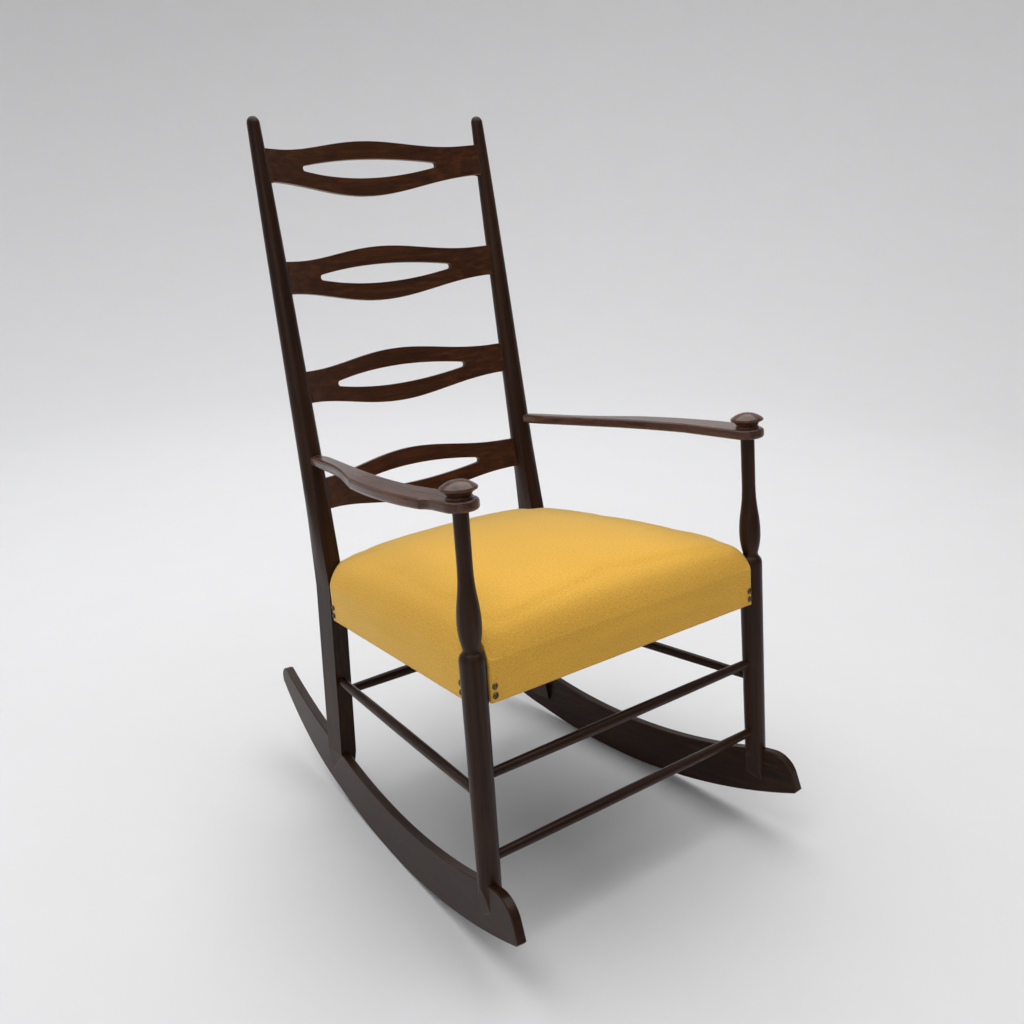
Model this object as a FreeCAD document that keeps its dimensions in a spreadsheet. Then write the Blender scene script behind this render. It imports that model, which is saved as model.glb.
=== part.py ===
import FreeCAD, Part
import math
import os

import Sketcher

# Ladder-back rocking chair: four pierced slats, open arms with turned knobs,
# over-stuffed seat, two curved rockers that toe out towards the front.
#
# The chair is drawn standing square: legs upright, seat level, y = 0 at the
# front legs and +y towards the back.  REST then leans it back by the angle at
# which it balances on its rockers, with the lowest point of the arc on z = 0.

SIZES = [
    # stance
    ("recline", 6.56), ("origin_back", -324.97),
    # rockers
    ("rocker_thick", 14.5), ("rocker_toe", 5.97), ("rocker_side", 274),
    ("arc_radius", 953), ("arc_mid", 203.3), ("arc_height", 982.6),
    ("toe_run", 74), ("nose_reach", 79), ("nose_depth", 76), ("nose_round", 40),
    ("nose_top", 129.5), ("nose_back", 30), ("nose_crown_back", 70), ("nose_crown_high", 104),
    ("board_front_run", -5), ("board_front", 128), ("board_mid_run", 203), ("board_mid", 105),
    ("board_tail_run", 508), ("board_tail", 157), ("tail_start", 480), ("tail_radius", 455),
    ("tail_end", 702), ("tail_end_low", 196), ("tail_top", 683), ("tail_top_high", 225),
    ("tail_round", 20), ("board_top_radius", 926), ("tail_top_radius", 900),
    ("rocker_ease", 1.3),
    # front posts
    ("post_top_x", 267.3), ("post_splay", 0.42), ("tongue_low", 78), ("tongue_high", 134),
    ("foot_radius", 16), ("leg_radius", 17.6), ("shoulder_low", 441), ("shoulder_high", 452),
    ("shoulder_radius", 13), ("shoulder_curve", 14), ("neck_radius", 11.6), ("neck_low", 455),
    ("neck_high", 458), ("bulge_curve", 114), ("flank_curve", 206), ("waist_curve", 264),
    ("bulge_radius", 16.2), ("bulge_height", 490), ("flank_radius", 13.2), ("flank_height", 525),
    ("waist_radius", 10.3), ("waist_height", 564), ("shaft_radius", 10.5), ("shaft_top", 638),
    ("pin_radius", 7.5), ("pin_top", 665), ("tongue_half", 7), ("tongue_twist", 2.6),
    ("tongue_flare", 18), ("tongue_clear", 24),
    # back posts
    ("back_foot_x", 221.5), ("back_foot_y", 478.4), ("back_foot_low", 94), ("back_foot_high", 142),
    ("back_half_wide", 14), ("back_half_deep", 21.5), ("kink_x", 214), ("kink_y", 464),
    ("kink_height", 430), ("back_x", 212), ("back_lean", 0.1136), ("back_ref_y", 488.3),
    ("back_ref_height", 660.1), ("round_height", 590), ("round_radius", 19.3),
    ("upper_height", 843), ("upper_radius", 15.7), ("high_height", 1050), ("high_radius", 12.4),
    ("top_height", 1150), ("top_radius", 10), ("dome_height", 11.5),
    ("cheek_foot", 7.2), ("cheek_top", 14.2), ("cheek_shift", 1.15), ("cheek_clear", 24),
    # slats
    ("slat_thick", 8), ("slat_bow", 42), ("slat_chord", 200), ("slat_reach", 208),
    ("slat_end", 25), ("slat_crest", 42.5), ("slat_belly", 46.5), ("crest_run", 178),
    ("belly_run", 195), ("lens_run", 124), ("lens_rise", 15.5), ("lens_blunt", 4.5),
    ("lens_drop", 2), ("lens_ease", 0.3), ("slat_low", 577), ("slat_pitch", 170.5),
    ("slat_board", 110), ("waste_wide", 240), ("waste_tall", 70), ("saw_margin", 2),
    # arms
    ("arm_thick", 15), ("arm_base", 638), ("arm_fall", 1), ("boss_radius", 25),
    ("arm_rear", 467), ("arm_rear_in", 204), ("arm_rear_out", 224), ("arm_corner", 6),
    ("arm_ease", 5), ("arm_pin_radius", 6.5), ("arm_pin_length", 22),
    ("arm_in_near_x", 252), ("arm_in_near_y", 120), ("arm_in_far_x", 229), ("arm_in_far_y", 309),
    ("arm_in_curve", 1009), ("arm_in_tail_y", 430), ("arm_out_tail_x", 238),
    ("arm_out_tail_y", 392), ("arm_tail_curve", 700), ("arm_out_far_x", 258),
    ("arm_out_far_y", 312), ("arm_far_curve", 500), ("arm_out_mid_x", 284),
    ("arm_out_mid_y", 242), ("arm_out_wide_x", 302), ("arm_out_wide_y", 88),
    ("arm_wide_curve", 720), ("arm_out_near_x", 299), ("arm_out_near_y", 46),
    ("arm_near_curve", 300), ("arm_cheek_y", 24), ("arm_cheek_curve", 30),
    # knobs
    ("knob_radius", 24.5), ("knob_rim", 13), ("knob_top", 23.5), ("knob_collar", 17.5),
    ("knob_collar_high", 3), ("knob_step", 0.8), ("knob_throat", 15.5), ("knob_under", 22.5),
    ("knob_under_high", 10.5), ("knob_under_curve", 14), ("knob_lip_curve", 2.6),
    ("knob_edge_in", 1.6), ("knob_edge_up", 2.4), ("knob_edge_curve", 3),
    # stretchers
    ("stretcher_mid", 8), ("stretcher_tip", 6.7), ("stretcher_sink", 18), ("front_high", 278),
    ("front_low", 159), ("side_front_high", 250), ("side_back_high", 270), ("back_high", 241),
    ("back_stretcher_mid", 9),
    # seat frame
    ("rail_low", 383), ("rail_tall", 49), ("rail_thick", 22), ("front_rail_face", -12.5),
    ("front_rail_half", 252.5), ("side_rail_outer", 271.2), ("side_rail_toe", 5.86),
    ("side_rail_start", 17), ("side_rail_end", 446), ("back_rail_face", 474),
    ("back_rail_half", 200.5), ("tenon_thick", 10), ("tenon_tall", 34), ("tenon_long", 11.5),
    ("block_tall", 38), ("block_lift", 1.5), ("block_gap", 0.05), ("block_front_in", 184),
    ("block_front_out", 230), ("block_front_near", 31), ("block_front_far", 86),
    ("block_back_near", 372), ("block_back_far", 430), ("block_back_out", 186),
    ("block_back_in", 132),
    # upholstery
    ("web_wide", 50), ("web_thick", 1.6), ("web_inset", 5), ("web_cross_start", 58),
    ("web_cross_pitch", 112), ("web_long_pitch", 92), ("hessian_thick", 0.8), ("cover_thick", 2),
    ("cover_slack", 0.6), ("cover_hem", 380.5), ("crown_high", 508), ("seat_corner", 12),
    ("dust_thick", 0.8), ("notch_radius", 18.4), ("clear_tall", 200), ("clear_wide", 60),
    ("clear_deep", 80), ("clear_front_x", 256), ("clear_front_y", 8), ("clear_rear_y", 442.2),
    ("clear_rear_in", 1.2),
    # fixings
    ("nail_head", 4.8), ("nail_dome", 3), ("nail_shank", 1), ("nail_long", 12),
    ("nail_upper", 403), ("nail_lower", 390), ("nail_front_x", 247), ("nail_back_x", 191),
    ("nail_side_front", 27), ("nail_side_back", 433), ("tack_head", 3), ("tack_rise", 1),
    ("tack_shank", 0.8), ("tack_long", 10), ("tack_inset", 9), ("tack_front_pitch", 62),
    ("tack_back_pitch", 75), ("tack_side_start", 80), ("tack_side_pitch", 78),
    ("peg_radius", 3.5), ("peg_front_high", 121), ("peg_front_long", 28),
    ("peg_back_high", 124), ("peg_back_long", 23), ("screw_head", 4), ("screw_rim", 0.6),
    ("screw_neck", 3), ("screw_point", 4), ("screw_shank", 2), ("screw_long", 38),
    ("screw_share", 0.27),
]

doc = FreeCAD.newDocument("rocking_chair")
sheet = doc.addObject("Spreadsheet::Sheet", "dims")
for row, (label, amount) in enumerate(SIZES, start=1):
    sheet.set("A%d" % row, label)
    sheet.set("B%d" % row, str(amount))
    sheet.setAlias("B%d" % row, label)
doc.recompute()


class Size:
    """A length that knows both its present value and the expression behind it."""

    def __init__(self, text, value):
        self.text = text
        self.value = value

    @staticmethod
    def of(other):
        if isinstance(other, Size):
            return other
        return Size("(%r)" % float(other), float(other))

    def __add__(self, other):
        other = Size.of(other)
        return Size("(%s + %s)" % (self.text, other.text), self.value + other.value)

    def __sub__(self, other):
        other = Size.of(other)
        return Size("(%s - %s)" % (self.text, other.text), self.value - other.value)

    def __mul__(self, other):
        other = Size.of(other)
        return Size("(%s * %s)" % (self.text, other.text), self.value * other.value)

    def __neg__(self):
        return self * -1

    def root(self):
        return Size("sqrt(%s)" % self.text, math.sqrt(self.value))


def dim(label):
    """The named size from the sheet."""
    return Size("dims.%s" % label, float(sheet.get(label)))


def num(label):
    return dim(label).value


def rest_placement():
    """Lean the square chair back and set its arc on the floor."""
    turn = FreeCAD.Rotation(FreeCAD.Vector(1, 0, 0), -num("recline"))
    run = num("arc_mid") * math.cos(math.radians(num("rocker_toe")))
    centre = turn.multVec(FreeCAD.Vector(0, run, num("arc_height")))
    lift = num("arc_radius") - centre.z
    return FreeCAD.Placement(FreeCAD.Vector(0, num("origin_back"), lift), turn)


REST = rest_placement()
UPRIGHT = FreeCAD.Rotation()


def turn_about(axis, degrees):
    return FreeCAD.Rotation(FreeCAD.Vector(*axis), degrees)


def place(item, x=0.0, y=0.0, z=0.0, turn=UPRIGHT):
    """Put an item at a point of the square chair, in its resting attitude."""
    item.Placement = REST.multiply(FreeCAD.Placement(FreeCAD.Vector(x, y, z), turn))


def bind(item, field, size):
    item.setExpression(field, Size.of(size).text)


def new_body(name):
    return doc.addObject("PartDesign::Body", name)


def sketch_on(body, name, plane, lift=None):
    """An empty sketch on one of the body's own planes, raised by lift."""
    sketch = body.newObject("Sketcher::SketchObject", name)
    support = [f for f in body.Origin.OriginFeatures if f.Role == plane][0]
    sketch.AttachmentSupport = [(support, "")]
    sketch.MapMode = "FlatFace"
    if lift is not None:
        bind(sketch, "AttachmentOffset.Base.z", lift)
    return sketch


def arc_between(start, end, radius, side):
    """Arc under a half turn from start to end; side +1 keeps the centre left."""
    dx = end[0] - start[0]
    dy = end[1] - start[1]
    chord = math.hypot(dx, dy)
    inset = math.sqrt(max(radius * radius - chord * chord / 4, 0.0))
    cx = (start[0] + end[0]) / 2 - side * dy / chord * inset
    cy = (start[1] + end[1]) / 2 + side * dx / chord * inset
    first, last = (start, end) if side > 0 else (end, start)
    begin = math.atan2(first[1] - cy, first[0] - cx)
    finish = math.atan2(last[1] - cy, last[0] - cx)
    if finish < begin:
        finish += 2 * math.pi
    circle = Part.Circle(FreeCAD.Vector(cx, cy, 0), FreeCAD.Vector(0, 0, 1), radius)
    return Part.ArcOfCircle(circle, begin, finish)


def pin_point(sketch, piece, end, corner):
    """Hold one end of a segment at the two sizes of its corner."""
    for field, size in (("DistanceX", corner[0]), ("DistanceY", corner[1])):
        size = Size.of(size)
        if abs(size.value) < 1e-9:
            axis = -2 if field == "DistanceX" else -1
            sketch.addConstraint(Sketcher.Constraint("PointOnObject", piece, end, axis))
            continue
        rule = Sketcher.Constraint(field, -1, 1, piece, end, size.value)
        index = sketch.addConstraint(rule)
        sketch.setExpression("Constraints[%d]" % index, size.text)


def outline(sketch, corners, mirror=1):
    """Draw a closed outline.

    Each corner is (x, y) or (x, y, radius, side); the second form makes the
    segment that arrives at the corner an arc.  mirror -1 flips x.
    """
    points = [(Size.of(c[0]) * mirror if mirror < 0 else Size.of(c[0]), Size.of(c[1]))
              for c in corners]
    count = len(corners)
    pieces = []
    for i, corner in enumerate(corners):
        start = (points[i - 1][0].value, points[i - 1][1].value)
        end = (points[i][0].value, points[i][1].value)
        if len(corner) == 4:
            side = corner[3] * mirror
            radius = Size.of(corner[2])
            geo = sketch.addGeometry(arc_between(start, end, radius.value, side), False)
            index = sketch.addConstraint(Sketcher.Constraint("Radius", geo, radius.value))
            sketch.setExpression("Constraints[%d]" % index, radius.text)
            pieces.append((geo, 1, 2) if side > 0 else (geo, 2, 1))
        else:
            line = Part.LineSegment(FreeCAD.Vector(start[0], start[1], 0),
                                    FreeCAD.Vector(end[0], end[1], 0))
            pieces.append((sketch.addGeometry(line, False), 1, 2))
    for i in range(count):
        here = pieces[i]
        after = pieces[(i + 1) % count]
        sketch.addConstraint(Sketcher.Constraint("Coincident", here[0], here[2],
                                                 after[0], after[1]))
        pin_point(sketch, here[0], here[2], points[i])


def dome_radius(reach, rise):
    """Radius of the round cap of a given half width and height."""
    return Size("((%s^2 + %s^2) / (2 * %s))" % (reach.text, rise.text, rise.text),
                (reach.value ** 2 + rise.value ** 2) / (2 * rise.value))


def box_corners(x0, y0, x1, y1):
    return [(x0, y0), (x1, y0), (x1, y1), (x0, y1)]


def pad(body, sketch, length, middle=False):
    feature = body.newObject("PartDesign::Pad", body.Name + "_pad")
    feature.Profile = sketch
    bind(feature, "Length", length)
    feature.Midplane = middle
    return feature


def turned(body, corners):
    """Turn a profile given as (radius, height) corners about the z axis."""
    sketch = sketch_on(body, body.Name + "_profile", "XZ_Plane")
    outline(sketch, corners)
    feature = body.newObject("PartDesign::Revolution", body.Name + "_turning")
    feature.Profile = sketch
    feature.ReferenceAxis = (sketch, ["V_Axis"])
    feature.Angle = 360
    return feature


def loft(body, sketches, ruled):
    feature = body.newObject("PartDesign::AdditiveLoft", body.Name + "_loft")
    feature.Profile = sketches[0]
    feature.Sections = sketches[1:]
    feature.Ruled = ruled
    return feature


def soften(body, base, keep, radius):
    """Round the edges of a feature for which keep(edge) holds."""
    names = ["Edge%d" % (i + 1) for i, edge in enumerate(base.Shape.Edges) if keep(edge)]
    feature = body.newObject("PartDesign::Fillet", body.Name + "_ease")
    feature.Base = (base, names)
    bind(feature, "Radius", radius)
    return feature


def finish(name, base, cutters):
    """The finished piece: its blank less everything housed in it."""
    if len(cutters) == 1:
        tool = cutters[0]
    else:
        tool = doc.addObject("Part::MultiFuse", name + "_housings")
        tool.Shapes = cutters
    piece = doc.addObject("Part::Cut", name)
    piece.Base = base
    piece.Tool = tool
    piece.Label = name
    return piece


SIDES = (("left", -1), ("right", 1))
nodes = []


def node(item, name):
    item.Label = name
    nodes.append(item)
    return item


# ---------------------------------------------------------------- rockers
def arc_level(run):
    """Height of the rocking arc at a distance along the board."""
    radius = dim("arc_radius")
    reach = run - dim("arc_mid")
    return dim("arc_height") - (radius * radius - reach * reach).root()


def rocker_blank(side_name, side):
    body = new_body("rocker_blank_" + side_name)
    sketch = sketch_on(body, body.Name + "_outline", "YZ_Plane")
    toe = -dim("toe_run")
    tail = dim("tail_start")
    outline(sketch, [
        (toe, arc_level(toe)),
        (tail, arc_level(tail), dim("arc_radius"), 1),
        (dim("tail_end"), dim("tail_end_low"), dim("tail_radius"), 1),
        (dim("tail_top"), dim("tail_top_high"), dim("tail_round"), 1),
        (dim("board_tail_run"), dim("board_tail"), dim("tail_top_radius"), -1),
        (dim("board_mid_run"), dim("board_mid"), dim("board_top_radius"), -1),
        (dim("board_front_run"), dim("board_front"), dim("board_top_radius"), -1),
        (-dim("nose_back"), dim("nose_top")),
        (-dim("nose_crown_back"), dim("nose_crown_high"), dim("nose_round"), 1),
        (-dim("nose_reach"), dim("nose_depth")),
    ])
    board = pad(body, sketch, dim("rocker_thick"), True)
    doc.recompute()
    rims = ["Edge%d" % (i + 1) for i, edge in enumerate(board.Shape.Edges)
            if edge.BoundBox.XLength < 0.01]
    eased = body.newObject("PartDesign::Chamfer", body.Name + "_ease")
    eased.Base = (board, rims)
    bind(eased, "Size", dim("rocker_ease"))
    place(body, side * num("rocker_side"), 0, 0,
          turn_about((0, 0, 1), side * num("rocker_toe")))
    return body


rocker_blanks = {side: rocker_blank(name, side) for name, side in SIDES}


# ---------------------------------------------------------------- front posts
def front_post_place(item, side, height=0.0):
    splay = turn_about((0, 1, 0), -side * num("post_splay"))
    lean = math.tan(math.radians(num("post_splay")))
    foot_x = num("post_top_x") + lean * num("shaft_top")
    local = FreeCAD.Placement(FreeCAD.Vector(side * foot_x, 0, 0), splay)
    item.Placement = REST.multiply(local).multiply(
        FreeCAD.Placement(FreeCAD.Vector(0, 0, height), UPRIGHT))


def front_post_blank(side_name, side):
    body = new_body("front_post_blank_" + side_name)
    turned(body, [
        (0, dim("tongue_low")),
        (dim("foot_radius"), dim("tongue_low")),
        (dim("leg_radius"), dim("shoulder_low")),
        (dim("shoulder_radius"), dim("shoulder_high"), dim("shoulder_curve"), 1),
        (dim("neck_radius"), dim("neck_low")),
        (dim("neck_radius"), dim("neck_high")),
        (dim("bulge_radius"), dim("bulge_height"), dim("bulge_curve"), 1),
        (dim("flank_radius"), dim("flank_height"), dim("flank_curve"), 1),
        (dim("waist_radius"), dim("waist_height"), dim("waist_curve"), -1),
        (dim("shaft_radius"), dim("shaft_top")),
        (dim("pin_radius"), dim("shaft_top")),
        (dim("pin_radius"), dim("pin_top")),
        (0, dim("pin_top")),
    ])
    for number, flank in enumerate((-1, 1)):
        sketch = sketch_on(body, body.Name + "_tongue%d" % number, "XZ_Plane")
        face = dim("tongue_half") + dim("tongue_twist") * (flank * side)
        outline(sketch, [
            (face, dim("tongue_low") - 1),
            (dim("tongue_clear"), dim("tongue_low") - 1),
            (dim("tongue_clear"), dim("tongue_high")),
            (dim("tongue_flare"), dim("tongue_high")),
        ], flank)
        pocket = body.newObject("PartDesign::Pocket", body.Name + "_taper%d" % number)
        pocket.Profile = sketch
        pocket.Type = 1
        pocket.Midplane = True
    front_post_place(body, side)
    return body


front_post_blanks = {side: front_post_blank(name, side) for name, side in SIDES}


# ---------------------------------------------------------------- back posts
def back_line(height):
    """Depth of the straight upper back post at a height."""
    return dim("back_ref_y") + dim("back_lean") * (height - dim("back_ref_height"))


def post_square(body, number, x, y, height, wide, deep):
    sketch = sketch_on(body, "%s_section%d" % (body.Name, number), "XY_Plane", height)
    outline(sketch, [(x - wide, y - deep), (x + wide, y - deep),
                     (x + wide, y + deep), (x - wide, y + deep)])
    return sketch


def post_round(body, number, x, y, height, radius):
    """A round section in four quarter arcs that line up with the square ones."""
    sketch = sketch_on(body, "%s_section%d" % (body.Name, number), "XY_Plane", height)
    out = radius * math.sqrt(0.5)
    outline(sketch, [(x - out, y - out, radius, 1), (x + out, y - out, radius, 1),
                     (x + out, y + out, radius, 1), (x - out, y + out, radius, 1)])
    return sketch


def back_post_blank(side_name, side):
    body = new_body("back_post_blank_" + side_name)
    wide = dim("back_half_wide")
    deep = dim("back_half_deep")
    x_top = dim("back_x") * side
    x_kink = dim("kink_x") * side
    foot = post_square(body, 0, dim("back_foot_x") * side, dim("back_foot_y"),
                       dim("back_foot_low"), wide, deep)
    kink = post_square(body, 1, x_kink, dim("kink_y"), dim("kink_height"), wide, deep)
    loft(body, [foot, kink], True)
    kink_again = post_square(body, 2, x_kink, dim("kink_y"), dim("kink_height"), wide, deep)
    rounds = []
    stations = ("round", "upper", "high", "top")
    for number, station in enumerate(stations, start=3):
        height = dim(station + "_height")
        rounds.append(post_round(body, number, x_top, back_line(height), height,
                                 dim(station + "_radius")))
    start_round = post_round(body, 7, x_top, back_line(dim("round_height")),
                             dim("round_height"), dim("round_radius"))
    loft(body, [kink_again, start_round], True)
    loft(body, rounds, False)
    caps = []
    for number, (rise, shrink) in enumerate(((0, 1), (0.5, 0.89), (0.85, 0.6), (1, 0.25)), start=8):
        height = dim("top_height") + dim("dome_height") * rise
        caps.append(post_round(body, number, x_top, back_line(height), height,
                               dim("top_radius") * shrink))
    loft(body, caps, False)
    # the cheeks astride the rocker thin out to nothing at their lower ends
    for number, flank in enumerate((-1, 1)):
        sketch = sketch_on(body, body.Name + "_taper%d" % number, "XZ_Plane")
        x = dim("back_foot_x") * side
        outline(sketch, [
            (x + dim("cheek_foot") * flank, dim("back_foot_low") - 1),
            (x + dim("cheek_clear") * flank, dim("back_foot_low") - 1),
            (x + dim("cheek_clear") * flank, dim("back_foot_high")),
            (x - dim("cheek_shift") * side + dim("cheek_top") * flank, dim("back_foot_high")),
        ])
        pocket = body.newObject("PartDesign::Pocket", body.Name + "_cheek%d" % number)
        pocket.Profile = sketch
        pocket.Type = 1
        pocket.Midplane = True
    place(body)
    return body


back_post_blanks = {side: back_post_blank(name, side) for name, side in SIDES}


# ---------------------------------------------------------------- slats
def slat(name, height):
    """A pierced slat: a bowed strip cut to its swelling outline."""
    body = new_body(name)
    chord = dim("slat_chord")
    bow = dim("slat_bow")
    radius = dome_radius(chord, bow)
    half = dim("slat_thick") * 0.5
    reach = dim("slat_reach")
    outer = radius + half
    inner = radius - half
    back_y = (outer * outer - reach * reach).root() - (radius - bow)
    front_y = (inner * inner - reach * reach).root() - (radius - bow)
    plan = sketch_on(body, name + "_plan", "XY_Plane")
    outline(plan, [(-reach, front_y), (reach, front_y, inner, -1), (reach, back_y),
                   (-reach, back_y, outer, 1)])
    pad(body, plan, dim("slat_board"), True)
    waste = sketch_on(body, name + "_waste", "XZ_Plane")
    wide = dim("waste_wide")
    tall = dim("waste_tall")
    outline(waste, box_corners(-wide, -tall, wide, tall))
    end = dim("slat_end")
    beyond = reach + dim("saw_margin")
    corners = [(beyond, -end)]
    for run, swell, up in (("crest_run", "slat_crest", 1), ("belly_run", "slat_belly", -1)):
        far = dim(run)
        peak = dim(swell)
        middle = (end + peak) * 0.5
        depth = (peak - end) * 0.5
        bend = dome_radius(far * 0.5, depth)
        corners += [
            (beyond * up, end * up),
            (far * up, end * up),
            (far * 0.5 * up, middle * up, bend, -1),
            (far * -0.5 * up, middle * up, bend, 1),
            (far * -1 * up, end * up, bend, -1),
        ]
        if up > 0:
            corners += [(-beyond, end)]
    outline(waste, corners)
    run = dim("lens_run")
    blunt = dim("lens_blunt")
    rise = dim("lens_rise")
    drop = dim("lens_drop")
    curve = dome_radius(run, rise - blunt)
    end_curve = blunt + dim("lens_ease")
    outline(waste, [
        (-run, -blunt - drop, end_curve, 1),
        (run, -blunt - drop, curve, 1),
        (run, blunt - drop, end_curve, 1),
        (-run, blunt - drop, curve, 1),
    ])
    pocket = body.newObject("PartDesign::Pocket", name + "_shaping")
    pocket.Profile = waste
    pocket.Type = 1
    pocket.Midplane = True
    lean = math.degrees(math.atan(num("back_lean")))
    place(body, 0, back_line(height).value, height.value, turn_about((1, 0, 0), -lean))
    return node(body, name)


SLAT_NAMES = ("bottom_slat", "lower_slat", "upper_slat", "top_slat")
slats = [slat(name, dim("slat_low") + dim("slat_pitch") * step)
         for step, name in enumerate(SLAT_NAMES)]


# ---------------------------------------------------------------- arms
def arm_blank(side_name, side):
    body = new_body("arm_blank_" + side_name)
    boss = dim("boss_radius")
    centre = dim("post_top_x")
    sketch = sketch_on(body, body.Name + "_plan", "XY_Plane")
    rear = dim("arm_rear")
    inner = dim("arm_rear_in")
    outer = dim("arm_rear_out")
    corner = dim("arm_corner")
    outline(sketch, [
        (centre - boss, 0, boss, -1),
        (dim("arm_in_near_x"), dim("arm_in_near_y")),
        (dim("arm_in_far_x"), dim("arm_in_far_y"), dim("arm_in_curve"), 1),
        (inner + 1, dim("arm_in_tail_y")),
        (inner, rear - corner),
        (inner + corner, rear, corner, -1),
        (outer - corner, rear),
        (outer, rear - corner, corner, -1),
        (dim("arm_out_tail_x"), dim("arm_out_tail_y"), dim("arm_tail_curve"), -1),
        (dim("arm_out_far_x"), dim("arm_out_far_y"), dim("arm_far_curve"), 1),
        (dim("arm_out_mid_x"), dim("arm_out_mid_y")),
        (dim("arm_out_wide_x"), dim("arm_out_wide_y"), dim("arm_wide_curve"), -1),
        (dim("arm_out_near_x"), dim("arm_out_near_y"), dim("arm_near_curve"), -1),
        (centre + boss, dim("arm_cheek_y"), dim("arm_cheek_curve"), 1),
        (centre + boss, 0),
        (centre, -boss, boss, -1),
    ], side)
    half = pad(body, sketch, dim("arm_thick") * 0.5)
    doc.recompute()
    soften(body, half, lambda e: e.BoundBox.ZLength < 0.01 and abs(e.BoundBox.ZMin) < 0.01,
           dim("arm_ease"))
    upper = doc.addObject("Part::Mirroring", "arm_upper_half_" + side_name)
    upper.Source = body
    upper.Normal = FreeCAD.Vector(0, 0, 1)
    upper.Base = FreeCAD.Vector(0, 0, num("arm_thick") / 2)
    bind(upper, "Base.z", dim("arm_thick") * 0.5)
    pin = doc.addObject("Part::Cylinder", "arm_pin_" + side_name)
    bind(pin, "Radius", dim("arm_pin_radius"))
    bind(pin, "Height", dim("arm_pin_length") + corner)
    middle = side * (num("arm_rear_in") + num("arm_rear_out")) / 2
    pin.Placement = FreeCAD.Placement(
        FreeCAD.Vector(middle, rear.value - corner.value, num("arm_thick") / 2),
        turn_about((1, 0, 0), -90))
    blank = doc.addObject("Part::MultiFuse", "arm_whole_" + side_name)
    blank.Shapes = [body, upper, pin]
    blank.Refine = True
    place(blank, 0, 0, num("arm_base"), turn_about((1, 0, 0), -num("arm_fall")))
    return blank


arm_blanks = {side: arm_blank(name, side) for name, side in SIDES}


# ---------------------------------------------------------------- knobs
def knob_blank(side_name, side):
    body = new_body("knob_blank_" + side_name)
    edge_x = dim("knob_radius") - dim("knob_edge_in")
    edge_z = dim("knob_rim") + dim("knob_edge_up")
    turned(body, [
        (0, 0),
        (dim("knob_collar"), 0),
        (dim("knob_collar"), dim("knob_collar_high")),
        (dim("knob_throat"), dim("knob_collar_high") + dim("knob_step")),
        (dim("knob_under"), dim("knob_under_high"), dim("knob_under_curve"), -1),
        (dim("knob_radius"), dim("knob_rim"), dim("knob_lip_curve"), 1),
        (edge_x, edge_z, dim("knob_edge_curve"), 1),
        (0, dim("knob_top"), dome_radius(edge_x, dim("knob_top") - edge_z), 1),
    ])
    top = num("arm_base") + num("arm_thick")
    lean = math.tan(math.radians(num("post_splay")))
    spread = num("post_top_x") - lean * (top - num("shaft_top"))
    place(body, side * spread, 0, top, turn_about((1, 0, 0), -num("arm_fall")))
    return body


knob_blanks = {side: knob_blank(name, side) for name, side in SIDES}


# ---------------------------------------------------------------- stretchers
def stretcher(name, start, end, swell):
    """A round bar, a little thicker in the middle, sunk into a post at each end."""
    body = new_body(name)
    first = FreeCAD.Vector(*start)
    last = FreeCAD.Vector(*end)
    span = (last - first).Length
    half = span / 2
    tip = dim("stretcher_tip")
    bend = dome_radius(Size.of(half), swell - tip)
    turned(body, [(0, -half), (tip, -half), (swell, 0, bend, 1), (tip, half, bend, 1), (0, half)])
    way = FreeCAD.Rotation(FreeCAD.Vector(0, 0, 1), last - first)
    middle = (first + last) * 0.5
    place(body, middle.x, middle.y, middle.z, way)
    return node(body, name)


def leg_x(height):
    """Distance of a front leg's axis from the middle of the chair."""
    lean = math.tan(math.radians(num("post_splay")))
    return num("post_top_x") + lean * (num("shaft_top") - height)


def back_leg_x(height):
    share = (height - num("back_foot_low")) / (num("kink_height") - num("back_foot_low"))
    return num("back_foot_x") + share * (num("kink_x") - num("back_foot_x"))


def back_leg_y(height):
    share = (height - num("back_foot_low")) / (num("kink_height") - num("back_foot_low"))
    return num("back_foot_y") + share * (num("kink_y") - num("back_foot_y"))


stretchers = []
for name in ("front_low", "front_high"):
    level = num(name)
    reach_x = leg_x(level) - num("leg_radius") + num("stretcher_sink")
    label = "front_stretcher_lower" if name == "front_low" else "front_stretcher_upper"
    stretchers.append(stretcher(label, (-reach_x, 0, level), (reach_x, 0, level),
                                dim("stretcher_mid")))
level = num("back_high")
reach_x = back_leg_x(level) - num("back_half_wide") + num("stretcher_sink")
stretchers.append(stretcher("back_stretcher", (-reach_x, back_leg_y(level), level),
                            (reach_x, back_leg_y(level), level), dim("back_stretcher_mid")))
for name, side in SIDES:
    front_level = num("side_front_high")
    rear_level = num("side_back_high")
    stretchers.append(stretcher(
        "side_stretcher_" + name, (side * leg_x(front_level), 2, front_level),
        (side * (back_leg_x(rear_level) + 1), back_leg_y(rear_level) - 4, rear_level),
        dim("stretcher_mid")))


# ---------------------------------------------------------------- seat frame
def side_rail_x(run, inset=0.0):
    """Outer face of a side rail at a depth, or a line set in from it."""
    fall = math.tan(math.radians(num("side_rail_toe")))
    return num("side_rail_outer") - fall * run - inset / math.cos(math.atan(fall))


def rail(name, half, thick):
    """A rail along x with a tenon at each end; y = 0 is its outer face."""
    body = new_body(name)
    plan = sketch_on(body, name + "_plan", "XY_Plane")
    outline(plan, box_corners(-half, 0, half, thick))
    pad(body, plan, dim("rail_tall"))
    tenon = sketch_on(body, name + "_tenons", "XY_Plane",
                      (dim("rail_tall") - dim("tenon_tall")) * 0.5)
    near = (thick - dim("tenon_thick")) * 0.5
    outline(tenon, box_corners(-half - dim("tenon_long"), near,
                               half + dim("tenon_long"), near + dim("tenon_thick")))
    pad(body, tenon, dim("tenon_tall"))
    return body


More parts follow.
